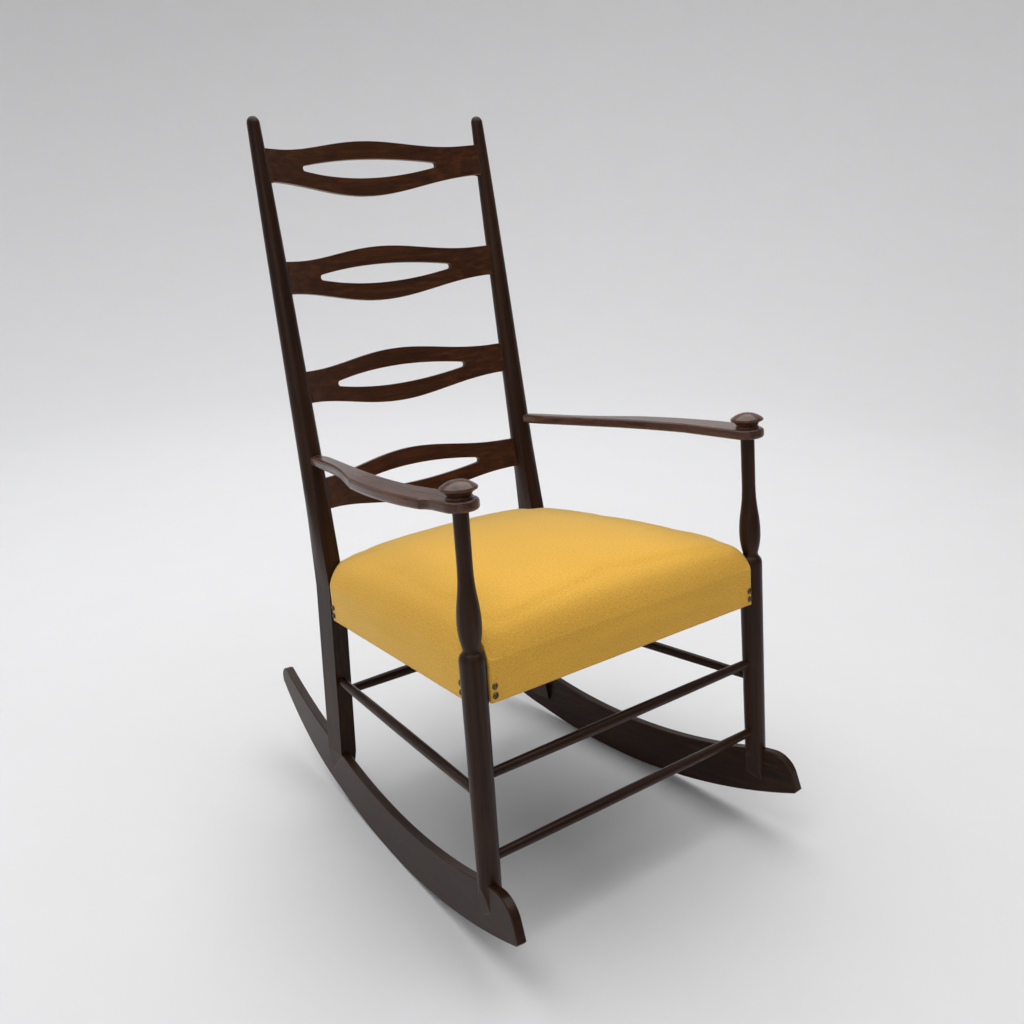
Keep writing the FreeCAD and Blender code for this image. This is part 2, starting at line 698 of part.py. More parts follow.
front_rail = rail("seat_rail_front_blank", dim("front_rail_half"), dim("rail_thick"))
place(front_rail, 0, num("front_rail_face"), num("rail_low"))
back_rail = rail("seat_rail_back_blank", dim("back_rail_half"), dim("rail_thick"))
place(back_rail, 0, num("back_rail_face"), num("rail_low"), turn_about((0, 0, 1), 180))
side_rails = {}
for name, side in SIDES:
    run = (num("side_rail_end") - num("side_rail_start")) / math.cos(
        math.radians(num("side_rail_toe")))
    blank = rail("seat_rail_%s_blank" % name, Size("(%r)" % (run / 2), run / 2),
                 dim("rail_thick"))
    mid_run = (num("side_rail_start") + num("side_rail_end")) / 2
    facing = turn_about((0, 0, 1), side * (90 + num("side_rail_toe")))
    place(blank, side * side_rail_x(mid_run), mid_run, num("rail_low"), facing)
    side_rails[side] = blank


def corner_block(name, corners, side):
    body = new_body(name)
    plan = sketch_on(body, name + "_plan", "XY_Plane")
    outline(plan, corners, side)
    pad(body, plan, dim("block_tall"))
    place(body, 0, 0, num("rail_low") + num("block_lift"))
    return body


def inner_x(run):
    return side_rail_x(run, num("rail_thick") + num("block_gap"))


front_inner = num("front_rail_face") + num("rail_thick") + num("block_gap")
back_inner = num("back_rail_face") - num("rail_thick") - num("block_gap")
front_block = [
    (num("block_front_in"), front_inner), (num("block_front_out"), front_inner),
    (inner_x(num("block_front_near")), num("block_front_near")),
    (inner_x(num("block_front_far")), num("block_front_far"))]
back_block = [
    (inner_x(num("block_back_near")), num("block_back_near")),
    (inner_x(num("block_back_far")), num("block_back_far")),
    (num("block_back_out"), back_inner), (num("block_back_in"), back_inner)]
blocks = {}
for name, side in SIDES:
    blocks["front", side] = corner_block("corner_block_front_%s_blank" % name, front_block, side)
    blocks["back", side] = corner_block("corner_block_back_%s_blank" % name, back_block, side)


# ---------------------------------------------------------------- upholstery
def fan(inset):
    """Half widths and depths of the seat outline, set in from the rail faces."""
    front = num("front_rail_face") + inset
    back = num("back_rail_face") - inset
    return front, back, side_rail_x(front, inset), side_rail_x(back, inset)


def seat_sheet(name, inset, height, thick):
    """A flat layer the shape of the seat, clear of the four posts."""
    body = new_body(name)
    front, back, front_x, back_x = fan(inset)
    post_front = num("side_rail_end") - 5
    post_inner = num("back_rail_half") - 1.5
    half = [
        (front_x - 30, front),
        (side_rail_x(front + 60, inset), front + 60),
        (side_rail_x(post_front, inset), post_front),
        (post_inner, post_front),
        (post_inner, back),
    ]
    plan = sketch_on(body, name + "_plan", "XY_Plane")
    outline(plan, half + [(-x, y) for x, y in reversed(half)])
    pad(body, plan, thick)
    place(body, 0, 0, height)
    return body


# rise of the stuffing as a share of its height, against distance in from the edge
CROWN = ((0.0, 0), (0.2, 1.2), (0.36, 6), (0.5, 17), (0.63, 42), (0.77, 80),
         (0.9, 128), (1.0, 185))


def seat_section(body, number, height, inset):
    """Rounded seat outline at one height; the corners loosen as it rises."""
    front, back, front_x, back_x = fan(inset)
    r = min(num("seat_corner") + max(inset, 0) * 0.25, 0.75 * back_x)
    bend = math.tan(math.radians(num("side_rail_toe")))
    sketch = sketch_on(body, "%s_section%d" % (body.Name, number), "XY_Plane",
                       Size("(%r)" % height, height))
    outline(sketch, [
        (-front_x + r, front, r, 1), (front_x - r, front),
        (front_x - bend * r, front + r, r, 1), (back_x + bend * r, back - r),
        (back_x - r, back, r, 1), (-back_x + r, back),
        (-back_x - bend * r, back - r, r, 1), (-front_x + bend * r, front + r),
    ])
    return sketch


stuffing_low = num("rail_low") + num("rail_tall") + 2 * num("web_thick") + num("hessian_thick")


def crowned(name, swell, skirt_low):
    """Crowned seat form, swollen by a fabric thickness, with an optional skirt."""
    body = new_body(name)
    out = -num("cover_slack") - swell
    if skirt_low < stuffing_low:
        skirt = seat_section(body, 90, skirt_low, out)
        pad(body, skirt, Size("(%r)" % (stuffing_low - skirt_low), stuffing_low - skirt_low))
    high = num("crown_high") - num("cover_thick") - stuffing_low
    rings = [seat_section(body, i, stuffing_low + high * share + swell * math.sqrt(share),
                          inset + out)
             for i, (share, inset) in enumerate(CROWN)]
    loft(body, rings, True)
    place(body)
    return body


def notches():
    """Clearances for the four posts through the seat."""
    tools = []
    low = num("cover_hem") - 20
    wide = num("clear_wide")
    for name, side in SIDES:
        ring = doc.addObject("Part::Cylinder", "post_clearance_" + name)
        bind(ring, "Radius", dim("notch_radius"))
        bind(ring, "Height", dim("clear_tall"))
        front_post_place(ring, side, low)
        corner = doc.addObject("Part::Box", "corner_clearance_" + name)
        rear = doc.addObject("Part::Box", "back_clearance_" + name)
        for block, depth in ((corner, "clear_wide"), (rear, "clear_deep")):
            bind(block, "Length", dim("clear_wide"))
            bind(block, "Width", dim(depth))
            bind(block, "Height", dim("clear_tall"))
        shift = 0 if side > 0 else -wide
        place(corner, side * num("clear_front_x") + shift, num("clear_front_y") - wide, low)
        rear_x = num("back_rail_half") - num("clear_rear_in")
        place(rear, side * rear_x + shift, num("clear_rear_y"), low)
        tools += [ring, corner, rear]
    return tools


clearances = notches()
stuffing = crowned("seat_padding_blank", 0, stuffing_low)
cover_outside = crowned("seat_cover_outside", num("cover_thick"), num("cover_hem"))
cover_inside = crowned("seat_cover_inside", 0, num("cover_hem"))


def gathered(name, shapes):
    """Separate solids kept together as one group."""
    item = doc.addObject("Part::Compound", name)
    item.Links = shapes
    return item


def strap(name, length, width, x, y, z):
    item = doc.addObject("Part::Box", name)
    item.Length = length
    item.Width = width
    bind(item, "Height", dim("web_thick"))
    place(item, x - length / 2, y - width / 2, z)
    return item


rail_top = num("rail_low") + num("rail_tall")
wide = num("web_wide")
cross_straps = []
for count in range(4):
    run = num("web_cross_start") + num("web_cross_pitch") * count
    reach_x = side_rail_x(run + wide / 2, num("web_inset"))
    cross_straps.append(strap("cross_strap%d" % count, 2 * reach_x, wide, 0, run, rail_top))
long_straps = []
front_y = num("front_rail_face") + num("web_inset")
back_y = num("back_rail_face") - num("web_inset")
for count in range(4):
    offset = num("web_long_pitch") * (count - 1.5)
    long_straps.append(strap("long_strap%d" % count, wide, back_y - front_y, offset,
                             (front_y + back_y) / 2, rail_top + num("web_thick")))
webbing_crosswise = node(gathered("webbing_crosswise", cross_straps), "webbing_crosswise")
webbing_lengthwise = node(gathered("webbing_lengthwise", long_straps), "webbing_lengthwise")
hessian = node(seat_sheet("hessian", 4, rail_top + 2 * num("web_thick"),
                          dim("hessian_thick")), "hessian")
dust_cover_blank = seat_sheet("dust_cover_blank", 3, num("rail_low") - num("dust_thick"),
                              dim("dust_thick"))


# ---------------------------------------------------------------- fixings
def fixing(name, corners):
    """The form of one fastener, turned about z with its seat at z = 0."""
    body = new_body(name)
    turned(body, corners)
    doc.recompute()
    return body.Shape


def spread(name, form, spots):
    """A group of like fasteners; each spot is a point and the way it faces."""
    group = doc.addObject("Part::Feature", name)
    shapes = []
    for point, facing in spots:
        one = form.copy()
        turn = FreeCAD.Rotation(FreeCAD.Vector(0, 0, 1), FreeCAD.Vector(*facing))
        one.Placement = FreeCAD.Placement(FreeCAD.Vector(*point), turn)
        shapes.append(one)
    group.Shape = Part.makeCompound(shapes)
    group.Placement = REST
    return node(group, name)


dome = num("nail_dome")
nail_form = fixing("nail_form", [
    (0, dome - num("nail_long")), (dim("nail_shank"), dome - num("nail_long")),
    (dim("nail_shank"), 0), (dim("nail_head"), 0),
    (0, dim("nail_dome"), dome_radius(dim("nail_head"), dim("nail_dome")), 1)])
skin = num("cover_slack") + num("cover_thick")
nail_spots = []
toe = math.radians(num("side_rail_toe"))
for level in (num("nail_upper"), num("nail_lower")):
    for name, side in SIDES:
        nail_spots.append(((side * num("nail_front_x"), num("front_rail_face") - skin, level), (0, -1, 0)))
        nail_spots.append(((side * num("nail_back_x"), num("back_rail_face") + skin, level), (0, 1, 0)))
        for run in (num("nail_side_front"), num("nail_side_back")):
            nail_spots.append(((side * side_rail_x(run, -skin), run, level),
                               (side * math.cos(toe), math.sin(toe), 0)))
cover_nails = spread("cover_nails", nail_form, nail_spots)

tack_form = fixing("tack_form", [
    (0, -dim("tack_long")), (dim("tack_shank"), -dim("tack_long")),
    (dim("tack_shank"), 0), (dim("tack_head"), 0),
    (0, dim("tack_rise"), dome_radius(dim("tack_head"), dim("tack_rise")), 1)])
tack_low = num("rail_low") - num("dust_thick")
inset = num("tack_inset")
tack_spots = []
for step in range(-3, 4):
    x = num("tack_front_pitch") * step
    tack_spots.append(((x, num("front_rail_face") + inset, tack_low), (0, 0, -1)))
for step in range(-2, 3):
    x = num("tack_back_pitch") * step
    tack_spots.append(((x, num("back_rail_face") - inset, tack_low), (0, 0, -1)))
for step in range(5):
    run = num("tack_side_start") + num("tack_side_pitch") * step
    for name, side in SIDES:
        tack_spots.append(((side * side_rail_x(run, inset), run, tack_low), (0, 0, -1)))
dust_cover_tacks = spread("dust_cover_tacks", tack_form, tack_spots)

screw_form = fixing("screw_form", [
    (0, -dim("screw_long")), (dim("screw_shank"), dim("screw_point") - dim("screw_long")),
    (dim("screw_shank"), -dim("screw_neck")), (dim("screw_head"), -dim("screw_rim")),
    (dim("screw_head"), 0), (0, 0)])
block_mid = num("rail_low") + num("block_lift") + num("block_tall") / 2
screw_spots = []
for near, far in ((front_block[0], front_block[3]), (back_block[3], back_block[0])):
    across = FreeCAD.Vector(far[0] - near[0], far[1] - near[1], 0)
    away = across.cross(FreeCAD.Vector(0, 0, 1)).normalize()
    inward = -1 if near[1] < 200 else 1
    for share in (num("screw_share"), 1 - num("screw_share")):
        for name, side in SIDES:
            x = near[0] + across.x * share
            y = near[1] + across.y * share
            screw_spots.append(((side * x, y, block_mid),
                                (side * inward * away.x, inward * away.y, 0)))
corner_block_screws = spread("corner_block_screws", screw_form, screw_spots)

front_peg = num("peg_front_high")
back_peg = num("peg_back_high")
pegs = []
for name, side in SIDES:
    for x, y, z, long in (
            (leg_x(front_peg), 0, front_peg, num("peg_front_long")),
            (back_leg_x(back_peg), back_leg_y(back_peg), back_peg, num("peg_back_long"))):
        start = FreeCAD.Vector(side * x - long / 2, y, z)
        pegs.append(Part.makeCylinder(num("peg_radius"), long, start, FreeCAD.Vector(1, 0, 0)))
rocker_pegs = doc.addObject("Part::Feature", "rocker_pegs")
rocker_pegs.Shape = Part.makeCompound(pegs)
rocker_pegs.Placement = REST
node(rocker_pegs, "rocker_pegs")

# ---------------------------------------------------------------- fitting together
fastenings = [cover_nails, dust_cover_tacks, corner_block_screws]
low_bar, high_bar, rear_bar, bar_left, bar_right = stretchers
side_bars = {-1: bar_left, 1: bar_right}
node(finish("seat_rail_front", front_rail, fastenings), "seat_rail_front")
node(finish("seat_rail_back", back_rail, fastenings), "seat_rail_back")
for name, side in SIDES:
    tag = "_" + name
    node(finish("rocker" + tag, rocker_blanks[side], [rocker_pegs]), "rocker" + tag)
    node(finish("seat_rail" + tag, side_rails[side], fastenings), "seat_rail" + tag)
    for end in ("front", "back"):
        label = "corner_block_%s%s" % (end, tag)
        node(finish(label, blocks[end, side], [corner_block_screws]), label)
    node(finish("front_post" + tag, front_post_blanks[side], [
        rocker_blanks[side], rocker_pegs, low_bar, high_bar, side_bars[side], front_rail,
        side_rails[side]]), "front_post" + tag)
    node(finish("back_post" + tag, back_post_blanks[side], [
        rocker_blanks[side], rocker_pegs, rear_bar, side_bars[side], back_rail,
        side_rails[side], arm_blanks[side]] + slats), "back_post" + tag)
    node(finish("arm" + tag, arm_blanks[side], [front_post_blanks[side]]), "arm" + tag)
    node(finish("arm_knob" + tag, knob_blanks[side], [front_post_blanks[side]]),
         "arm_knob" + tag)
node(finish("seat_padding", stuffing, clearances), "seat_padding")
node(finish("seat_cover", cover_outside, [cover_inside, cover_nails] + clearances),
     "seat_cover")
node(finish("dust_cover", dust_cover_blank, [dust_cover_tacks]), "dust_cover")

doc.recompute()
os.makedirs("parts", exist_ok=True)
whole = FreeCAD.BoundBox()
for item in nodes:
    if "Invalid" in item.State or "Error" in item.State:
        raise RuntimeError("%s did not build" % item.Label)
    if item.Shape.isNull() or not item.Shape.isValid() or item.Shape.Volume <= 0:
        raise RuntimeError("%s has no sound shape" % item.Label)
    item.Shape.exportStep("parts/%s.step" % item.Label)
    whole.add(item.Shape.optimalBoundingBox())
    print("%-24s %2d solids %9.2f cm3" % (item.Label, len(item.Shape.Solids),
                                         item.Shape.Volume / 1000))
print("size", round(whole.XLength, 1), round(whole.YLength, 1), round(whole.ZLength, 1))
print("centre", round(whole.Center.x, 2), round(whole.Center.y, 2), "low", round(whole.ZMin, 3))
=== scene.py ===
"""Ladder-back rocking chair in stained wood with a stuffed wool seat.

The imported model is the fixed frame.  Turned and sawn wood keeps its own solids
and is given its finish here; the slats and everything that is upholstered are
built again in full detail in the places that the frame gives them.
"""

import logging
import math
from dataclasses import dataclass
from enum import Enum
from typing import Any

import bmesh
import bpy
from mathutils import Matrix, Vector, noise


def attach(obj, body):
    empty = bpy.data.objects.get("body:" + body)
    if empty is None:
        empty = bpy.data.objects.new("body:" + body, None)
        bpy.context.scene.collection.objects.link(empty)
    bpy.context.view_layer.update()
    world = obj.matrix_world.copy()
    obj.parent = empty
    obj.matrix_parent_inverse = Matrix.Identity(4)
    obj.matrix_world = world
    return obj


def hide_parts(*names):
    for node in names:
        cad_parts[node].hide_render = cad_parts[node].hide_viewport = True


LOG = logging.getLogger("rocking_chair")
BODY = "root"
MM = 0.001


# ------------------------------------------------------------------ the stance
@dataclass(frozen=True)
class Stance:
    """How the chair, drawn square with its seat level, stands at rest."""

    recline: float = math.radians(6.56)
    back: float = -324.97 * MM
    back_lean: float = math.atan(0.1136)
    back_ref_y: float = 488.3 * MM
    back_ref_z: float = 660.1 * MM

    def matrix(self) -> Matrix:
        """The move from the square chair to the chair at rest."""
        return Matrix.Translation((0, self.back, 0)) @ Matrix.Rotation(-self.recline, 4, "X")

    def back_line(self, height: float) -> float:
        """Depth of the back posts' line at a height of the square chair."""
        return self.back_ref_y + math.tan(self.back_lean) * (height - self.back_ref_z)


STANCE = Stance()


# ------------------------------------------------------------------ finishes
def linear(code: str) -> tuple[float, float, float, float]:
    """Turn an sRGB hex colour into linear light.

    Args:
        code: six hex digits, such as "3a2116".

    Returns:
        Red, green, blue and an alpha of one.
    """
    shares = [int(code[i:i + 2], 16) / 255 for i in (0, 2, 4)]
    light = [s / 12.92 if s <= 0.04045 else ((s + 0.055) / 1.055) ** 2.4 for s in shares]
    return (light[0], light[1], light[2], 1.0)


def add(tree: bpy.types.NodeTree, kind: str, inputs: dict[Any, Any] | None = None,
        stops: tuple[tuple[float, str], ...] = (), **settings: Any) -> bpy.types.Node:
    """Add a node with its settings, colour stops and links.

    Args:
        tree: the tree that takes the node.
        kind: the node's type name.
        inputs: socket name or number to a plain value or to the socket that feeds it.
        stops: place and hex colour of each stop of a colour ramp.
        settings: properties of the node itself.

    Returns:
        The new node.
    """
    node = tree.nodes.new(kind)
    for name, value in settings.items():
        setattr(node, name, value)
    for name, value in (inputs or {}).items():
        if isinstance(value, bpy.types.NodeSocket):
            tree.links.new(value, node.inputs[name])
        else:
            node.inputs[name].default_value = value
    for place, code in stops[:-2]:
        node.color_ramp.elements.new(place)
    for element, (place, code) in zip(node.color_ramp.elements if stops else (), stops):
        element.position = place
        element.color = linear(code)
    return node


def new_material(name: str) -> tuple[bpy.types.Material, bpy.types.NodeTree]:
    """Start a node material.

    Args:
        name: the finish's name.

    Returns:
        The empty material and its tree.
    """
    material = bpy.data.materials.new(name)
    material.use_nodes = True
    material.node_tree.nodes.clear()
    return material, material.node_tree


class Grain(Enum):
    """The way the fibres run in a piece."""

    UP = "up"
    UP_FRONT = "up_front"
    ACROSS = "across"
    FORE_AFT = "fore_aft"


@dataclass(frozen=True)
class StainedWood:
    """Close-grained beech, turned or sawn, stained dark and wax-polished.

    It gives the eye a deep brown with long faint streaks, fine dark pore lines, a
    satin shine, and arrises lightened to a tan line, partly where handling has rubbed
    the stain and partly as a painted highlight.
    """

    name: str
    grain: Grain
    dark: str = "1f110a"
    middle: str = "2d190e"
    warm: str = "3d2413"
    rubbed: str = "3f2a20"
    # tan of the arrises: partly rubbed stain, partly a painted highlight
    arris: str = "8d6240"
    arris_tan_strength: float = 0.75
    roughness: tuple[float, float] = (0.28, 0.42)
    gloss: float = 0.2
    shine: float = 0.07
    streak_wide: float = 7 * MM
    streak_long: float = 420 * MM
    # real pores are about 0.1 mm wide; drawn 0.9 mm wide so that they show
    pore_wide: float = 0.9 * MM
    pore_long: float = 45 * MM
    arris_wide: float = 1.7 * MM

    def cell(self, wide: float, long: float) -> tuple[Vector, float]:
        """Lay one patch of the figure along the fibres.

        Args:
            wide: its size across the fibres.
            long: its size along the fibres.

        Returns:
            Its size along x, y and z, and how far the fibres lean back.
        """
        sizes = {
            Grain.UP: (Vector((wide, wide, long)), STANCE.recline + STANCE.back_lean),
            Grain.UP_FRONT: (Vector((wide, wide, long)), STANCE.recline),
            Grain.ACROSS: (Vector((long, wide, wide)), STANCE.recline),
            Grain.FORE_AFT: (Vector((wide, long, wide)), STANCE.recline),
        }
        return sizes[self.grain]

    def build(self) -> bpy.types.Material:
        """Lay streaks, pores, handled patches and tan arrises, partly rubbed and partly a painted
        highlight, under the polish.

        Returns:
            The material.
        """
        material, tree = new_material(self.name)
        place = add(tree, "ShaderNodeTexCoord").outputs["Object"]
        size, lean = self.cell(self.streak_wide, self.streak_long)
        along = add(tree, "ShaderNodeMapping", {
            "Vector": place, "Rotation": (-lean, 0, 0), "Scale": size}, vector_type="TEXTURE")
        streak = add(tree, "ShaderNodeTexNoise", {
            "Vector": along.outputs["Vector"], "Scale": 1.0, "Detail": 4.0,
            "Roughness": 0.55, "Distortion": 0.15})
        stain = add(tree, "ShaderNodeValToRGB", {"Fac": streak.outputs["Fac"]}, stops=(
            (0.3, self.dark), (0.52, self.middle), (0.74, self.warm)))
        size, lean = self.cell(self.pore_wide, self.pore_long)
        finer = add(tree, "ShaderNodeMapping", {
            "Vector": place, "Rotation": (-lean, 0, 0), "Scale": size}, vector_type="TEXTURE")
        pore = add(tree, "ShaderNodeTexNoise", {
            "Vector": finer.outputs["Vector"], "Scale": 1.0, "Detail": 2.0,
            "Roughness": 0.6})
        pitted = add(tree, "ShaderNodeMapRange", {
            "Value": pore.outputs["Fac"], "From Min": 0.3, "From Max": 0.7,
            "To Min": 0.7, "To Max": 1.22})
        grained = add(tree, "ShaderNodeVectorMath", {
            0: stain.outputs["Color"], "Scale": pitted.outputs["Result"]}, operation="SCALE")
        patch = add(tree, "ShaderNodeTexNoise", {
            "Vector": place, "Scale": 7.0, "Detail": 2.0})
        handled = add(tree, "ShaderNodeMapRange", {
            "Value": patch.outputs["Fac"], "From Min": 0.48, "From Max": 0.8,
            "To Min": 0.0, "To Max": 0.4})
        waxed = add(tree, "ShaderNodeMix", {
            "Factor": handled.outputs["Result"], 6: grained.outputs["Vector"],
            7: linear(self.rubbed)}, data_type="RGBA")
        rounded = add(tree, "ShaderNodeBevel", {"Radius": self.arris_wide}, samples=6)
        facing = add(tree, "ShaderNodeNewGeometry")
        turn = add(tree, "ShaderNodeVectorMath", {
            0: rounded.outputs["Normal"], 1: facing.outputs["Normal"]},
            operation="DOT_PRODUCT")
        arris_mask = add(tree, "ShaderNodeMapRange", {
            "Value": turn.outputs["Value"], "From Min": 0.985, "From Max": 0.86,
            "To Min": 0.0, "To Max": self.arris_tan_strength})
        scuffed = add(tree, "ShaderNodeMapRange", {
            "Value": patch.outputs["Fac"], "From Min": 0.36, "From Max": 0.62,
            "To Min": 0.12, "To Max": 1.0})
        # the tan arris line, partly rubbed stain and partly painted highlight, stays off arrises
        # at a joint, which hands and cloths don't reach
        reach = add(tree, "ShaderNodeAmbientOcclusion", {"Distance": 7 * MM}, samples=6)
        clear = add(tree, "ShaderNodeMapRange", {
            "Value": reach.outputs["AO"], "From Min": 0.78, "From Max": 0.95})
        open_arris_patches = add(tree, "ShaderNodeMath", {
            0: scuffed.outputs["Result"], 1: clear.outputs["Result"]}, operation="MULTIPLY")
        arris_wear_and_highlight = add(tree, "ShaderNodeMath", {
            0: arris_mask.outputs["Result"], 1: open_arris_patches.outputs["Value"]}, operation="MULTIPLY")
        # painted highlight and rubbed stain: the arris colour is mixed in along the edges
        colour = add(tree, "ShaderNodeMix", {
            "Factor": arris_wear_and_highlight.outputs["Value"], 6: waxed.outputs[2], 7: linear(self.arris)},
            data_type="RGBA")
        satin = add(tree, "ShaderNodeMapRange", {
            "Value": streak.outputs["Fac"], "To Min": self.roughness[0],
            "To Max": self.roughness[1]})
        bump = add(tree, "ShaderNodeBump", {
            "Height": pore.outputs["Fac"], "Strength": 0.18, "Distance": 0.2 * MM})
        shader = add(tree, "ShaderNodeBsdfPrincipled", {
            "Base Color": colour.outputs[2], "Roughness": satin.outputs["Result"],
            "Normal": bump.outputs["Normal"], "IOR": 1.45, "Specular IOR Level": self.gloss,
            "Coat Weight": self.shine, "Coat Roughness": 0.16, "Coat IOR": 1.45})
        add(tree, "ShaderNodeOutputMaterial", {"Surface": shader.outputs["BSDF"]})
        return material


@dataclass(frozen=True)
class WoolCloth:
    """Milled wool upholstery cloth: a close plain weave under a soft felted nap.

    It gives the eye an even ochre with a barely heathered yarn, no gloss, and a
    pale bloom where it is seen from low down.
    """

    name: str = "wool_cloth_ochre"
    base: str = "edb64b"
    shade: str = "e2a73f"
    fleck: str = "f4c35f"
    bloom: str = "faf0b4"
    # real threads lie 0.9 mm apart; drawn 2.3 mm apart so that the weave shows
    thread: float = 2.3 * MM

    def build(self) -> bpy.types.Material:
        """Weave the yarn, raise its nap and give it a bloom.

        Returns:
            The material.
        """
        material, tree = new_material(self.name)
        cloth = add(tree, "ShaderNodeUVMap", uv_map="cloth").outputs["UV"]
        wander = add(tree, "ShaderNodeTexNoise", {
            "Vector": cloth, "Scale": 0.2 / self.thread, "Detail": 2.0})
        sway = add(tree, "ShaderNodeVectorMath", {
            0: wander.outputs["Color"], "Scale": self.thread * 0.9}, operation="SCALE")
        warped = add(tree, "ShaderNodeVectorMath", {
            0: cloth, 1: sway.outputs["Vector"]}, operation="ADD")
        # the wave texture repeats every 0.314 units at scale 1
        warp, weft = (add(tree, "ShaderNodeTexWave", {
            "Vector": warped.outputs["Vector"], "Scale": 0.314 / self.thread,
            "Distortion": 0.6, "Detail": 1.0}, bands_direction=way) for way in ("X", "Y"))
        weave = add(tree, "ShaderNodeMath", {
            0: warp.outputs["Fac"], 1: weft.outputs["Fac"]}, operation="MULTIPLY")
        nap = add(tree, "ShaderNodeTexNoise", {
            "Vector": cloth, "Scale": 0.8 / self.thread, "Detail": 3.0, "Roughness": 0.6})
        cloud = add(tree, "ShaderNodeTexNoise", {
            "Vector": cloth, "Scale": 11.0, "Detail": 2.0})
        yarn = add(tree, "ShaderNodeValToRGB", {"Fac": nap.outputs["Fac"]}, stops=(
            (0.3, self.shade), (0.5, self.base), (0.72, self.fleck)))
        tone = add(tree, "ShaderNodeMapRange", {
            "Value": cloud.outputs["Fac"], "To Min": 0.95, "To Max": 1.05})
        ribbed = add(tree, "ShaderNodeMapRange", {
            "Value": weave.outputs["Value"], "To Min": 0.87, "To Max": 1.1})
        shaded = add(tree, "ShaderNodeMath", {
            0: tone.outputs["Result"], 1: ribbed.outputs["Result"]}, operation="MULTIPLY")
        colour = add(tree, "ShaderNodeVectorMath", {
            0: yarn.outputs["Color"], "Scale": shaded.outputs["Value"]}, operation="SCALE")
        height = add(tree, "ShaderNodeMath", {
            0: weave.outputs["Value"], 1: nap.outputs["Fac"]}, operation="ADD")
        bump = add(tree, "ShaderNodeBump", {
            "Height": height.outputs["Value"], "Strength": 0.4, "Distance": 0.4 * MM})
        shader = add(tree, "ShaderNodeBsdfPrincipled", {
            "Base Color": colour.outputs["Vector"], "Roughness": 0.95,
            "Normal": bump.outputs["Normal"], "IOR": 1.4, "Specular IOR Level": 0.2,
            "Sheen Weight": 1.0, "Sheen Roughness": 0.32, "Sheen Tint": linear(self.bloom)})
        add(tree, "ShaderNodeOutputMaterial", {"Surface": shader.outputs["BSDF"]})
        return material


@dataclass(frozen=True)
class PlainWeave:
    """Plain-woven cloth of jute or cotton.

    It gives the eye crossing threads with darker gaps, thick and thin in places.
    """

    name: str
    thread_colour: str
    gap_colour: str
    thread: float

    def build(self) -> bpy.types.Material:
        """Cross the threads and let the gaps between them go dark.

        Returns:
            The material.
        """
        material, tree = new_material(self.name)
        cloth = add(tree, "ShaderNodeUVMap", uv_map="cloth").outputs["UV"]
        warp, weft = (add(tree, "ShaderNodeTexWave", {
            "Vector": cloth, "Scale": 0.314 / self.thread, "Distortion": 0.5},
            bands_direction=way) for way in ("X", "Y"))
        weave = add(tree, "ShaderNodeMath", {
            0: warp.outputs["Fac"], 1: weft.outputs["Fac"]}, operation="MAXIMUM")
        slub = add(tree, "ShaderNodeTexNoise", {
            "Vector": cloth, "Scale": 0.4 / self.thread, "Detail": 3.0})
        mixed = add(tree, "ShaderNodeMath", {
            0: weave.outputs["Value"], 1: slub.outputs["Fac"]}, operation="MULTIPLY")
        colour = add(tree, "ShaderNodeValToRGB", {"Fac": mixed.outputs["Value"]}, stops=(
            (0.12, self.gap_colour), (0.5, self.thread_colour)))
        bump = add(tree, "ShaderNodeBump", {
            "Height": mixed.outputs["Value"], "Strength": 0.4, "Distance": 0.3 * MM})
        shader = add(tree, "ShaderNodeBsdfPrincipled", {
            "Base Color": colour.outputs["Color"], "Roughness": 0.92,
            "Normal": bump.outputs["Normal"], "Sheen Weight": 0.1})
        add(tree, "ShaderNodeOutputMaterial", {"Surface": shader.outputs["BSDF"]})
        return material


@dataclass(frozen=True)
class AgedMetal:
    """Pressed or drawn metal under an uneven patina.

    It gives the eye a dark skin that is rubbed through to metal in small spots.
    """

    name: str
    bright: str
    patina: str
    roughness: tuple[float, float] = (0.3, 0.6)
    mottle: float = 2.5 * MM

    def build(self) -> bpy.types.Material:
        """Mottle the patina, and dent it lightly as hammered heads are.

        Returns:
            The material.
        """
        material, tree = new_material(self.name)
        place = add(tree, "ShaderNodeTexCoord").outputs["Object"]
        spots = add(tree, "ShaderNodeTexNoise", {
            "Vector": place, "Scale": 0.5 / self.mottle, "Detail": 4.0, "Roughness": 0.6})
        colour = add(tree, "ShaderNodeValToRGB", {"Fac": spots.outputs["Fac"]}, stops=(
            (0.45, self.patina), (0.8, self.bright)))
        gloss = add(tree, "ShaderNodeMapRange", {
            "Value": spots.outputs["Fac"], "To Min": self.roughness[0],
            "To Max": self.roughness[1]})
        bump = add(tree, "ShaderNodeBump", {
            "Height": spots.outputs["Fac"], "Strength": 0.4, "Distance": 0.3 * MM})
        shader = add(tree, "ShaderNodeBsdfPrincipled", {
            "Base Color": colour.outputs["Color"], "Metallic": 0.9,
            "Roughness": gloss.outputs["Result"], "Normal": bump.outputs["Normal"]})
        add(tree, "ShaderNodeOutputMaterial", {"Surface": shader.outputs["BSDF"]})
        return material


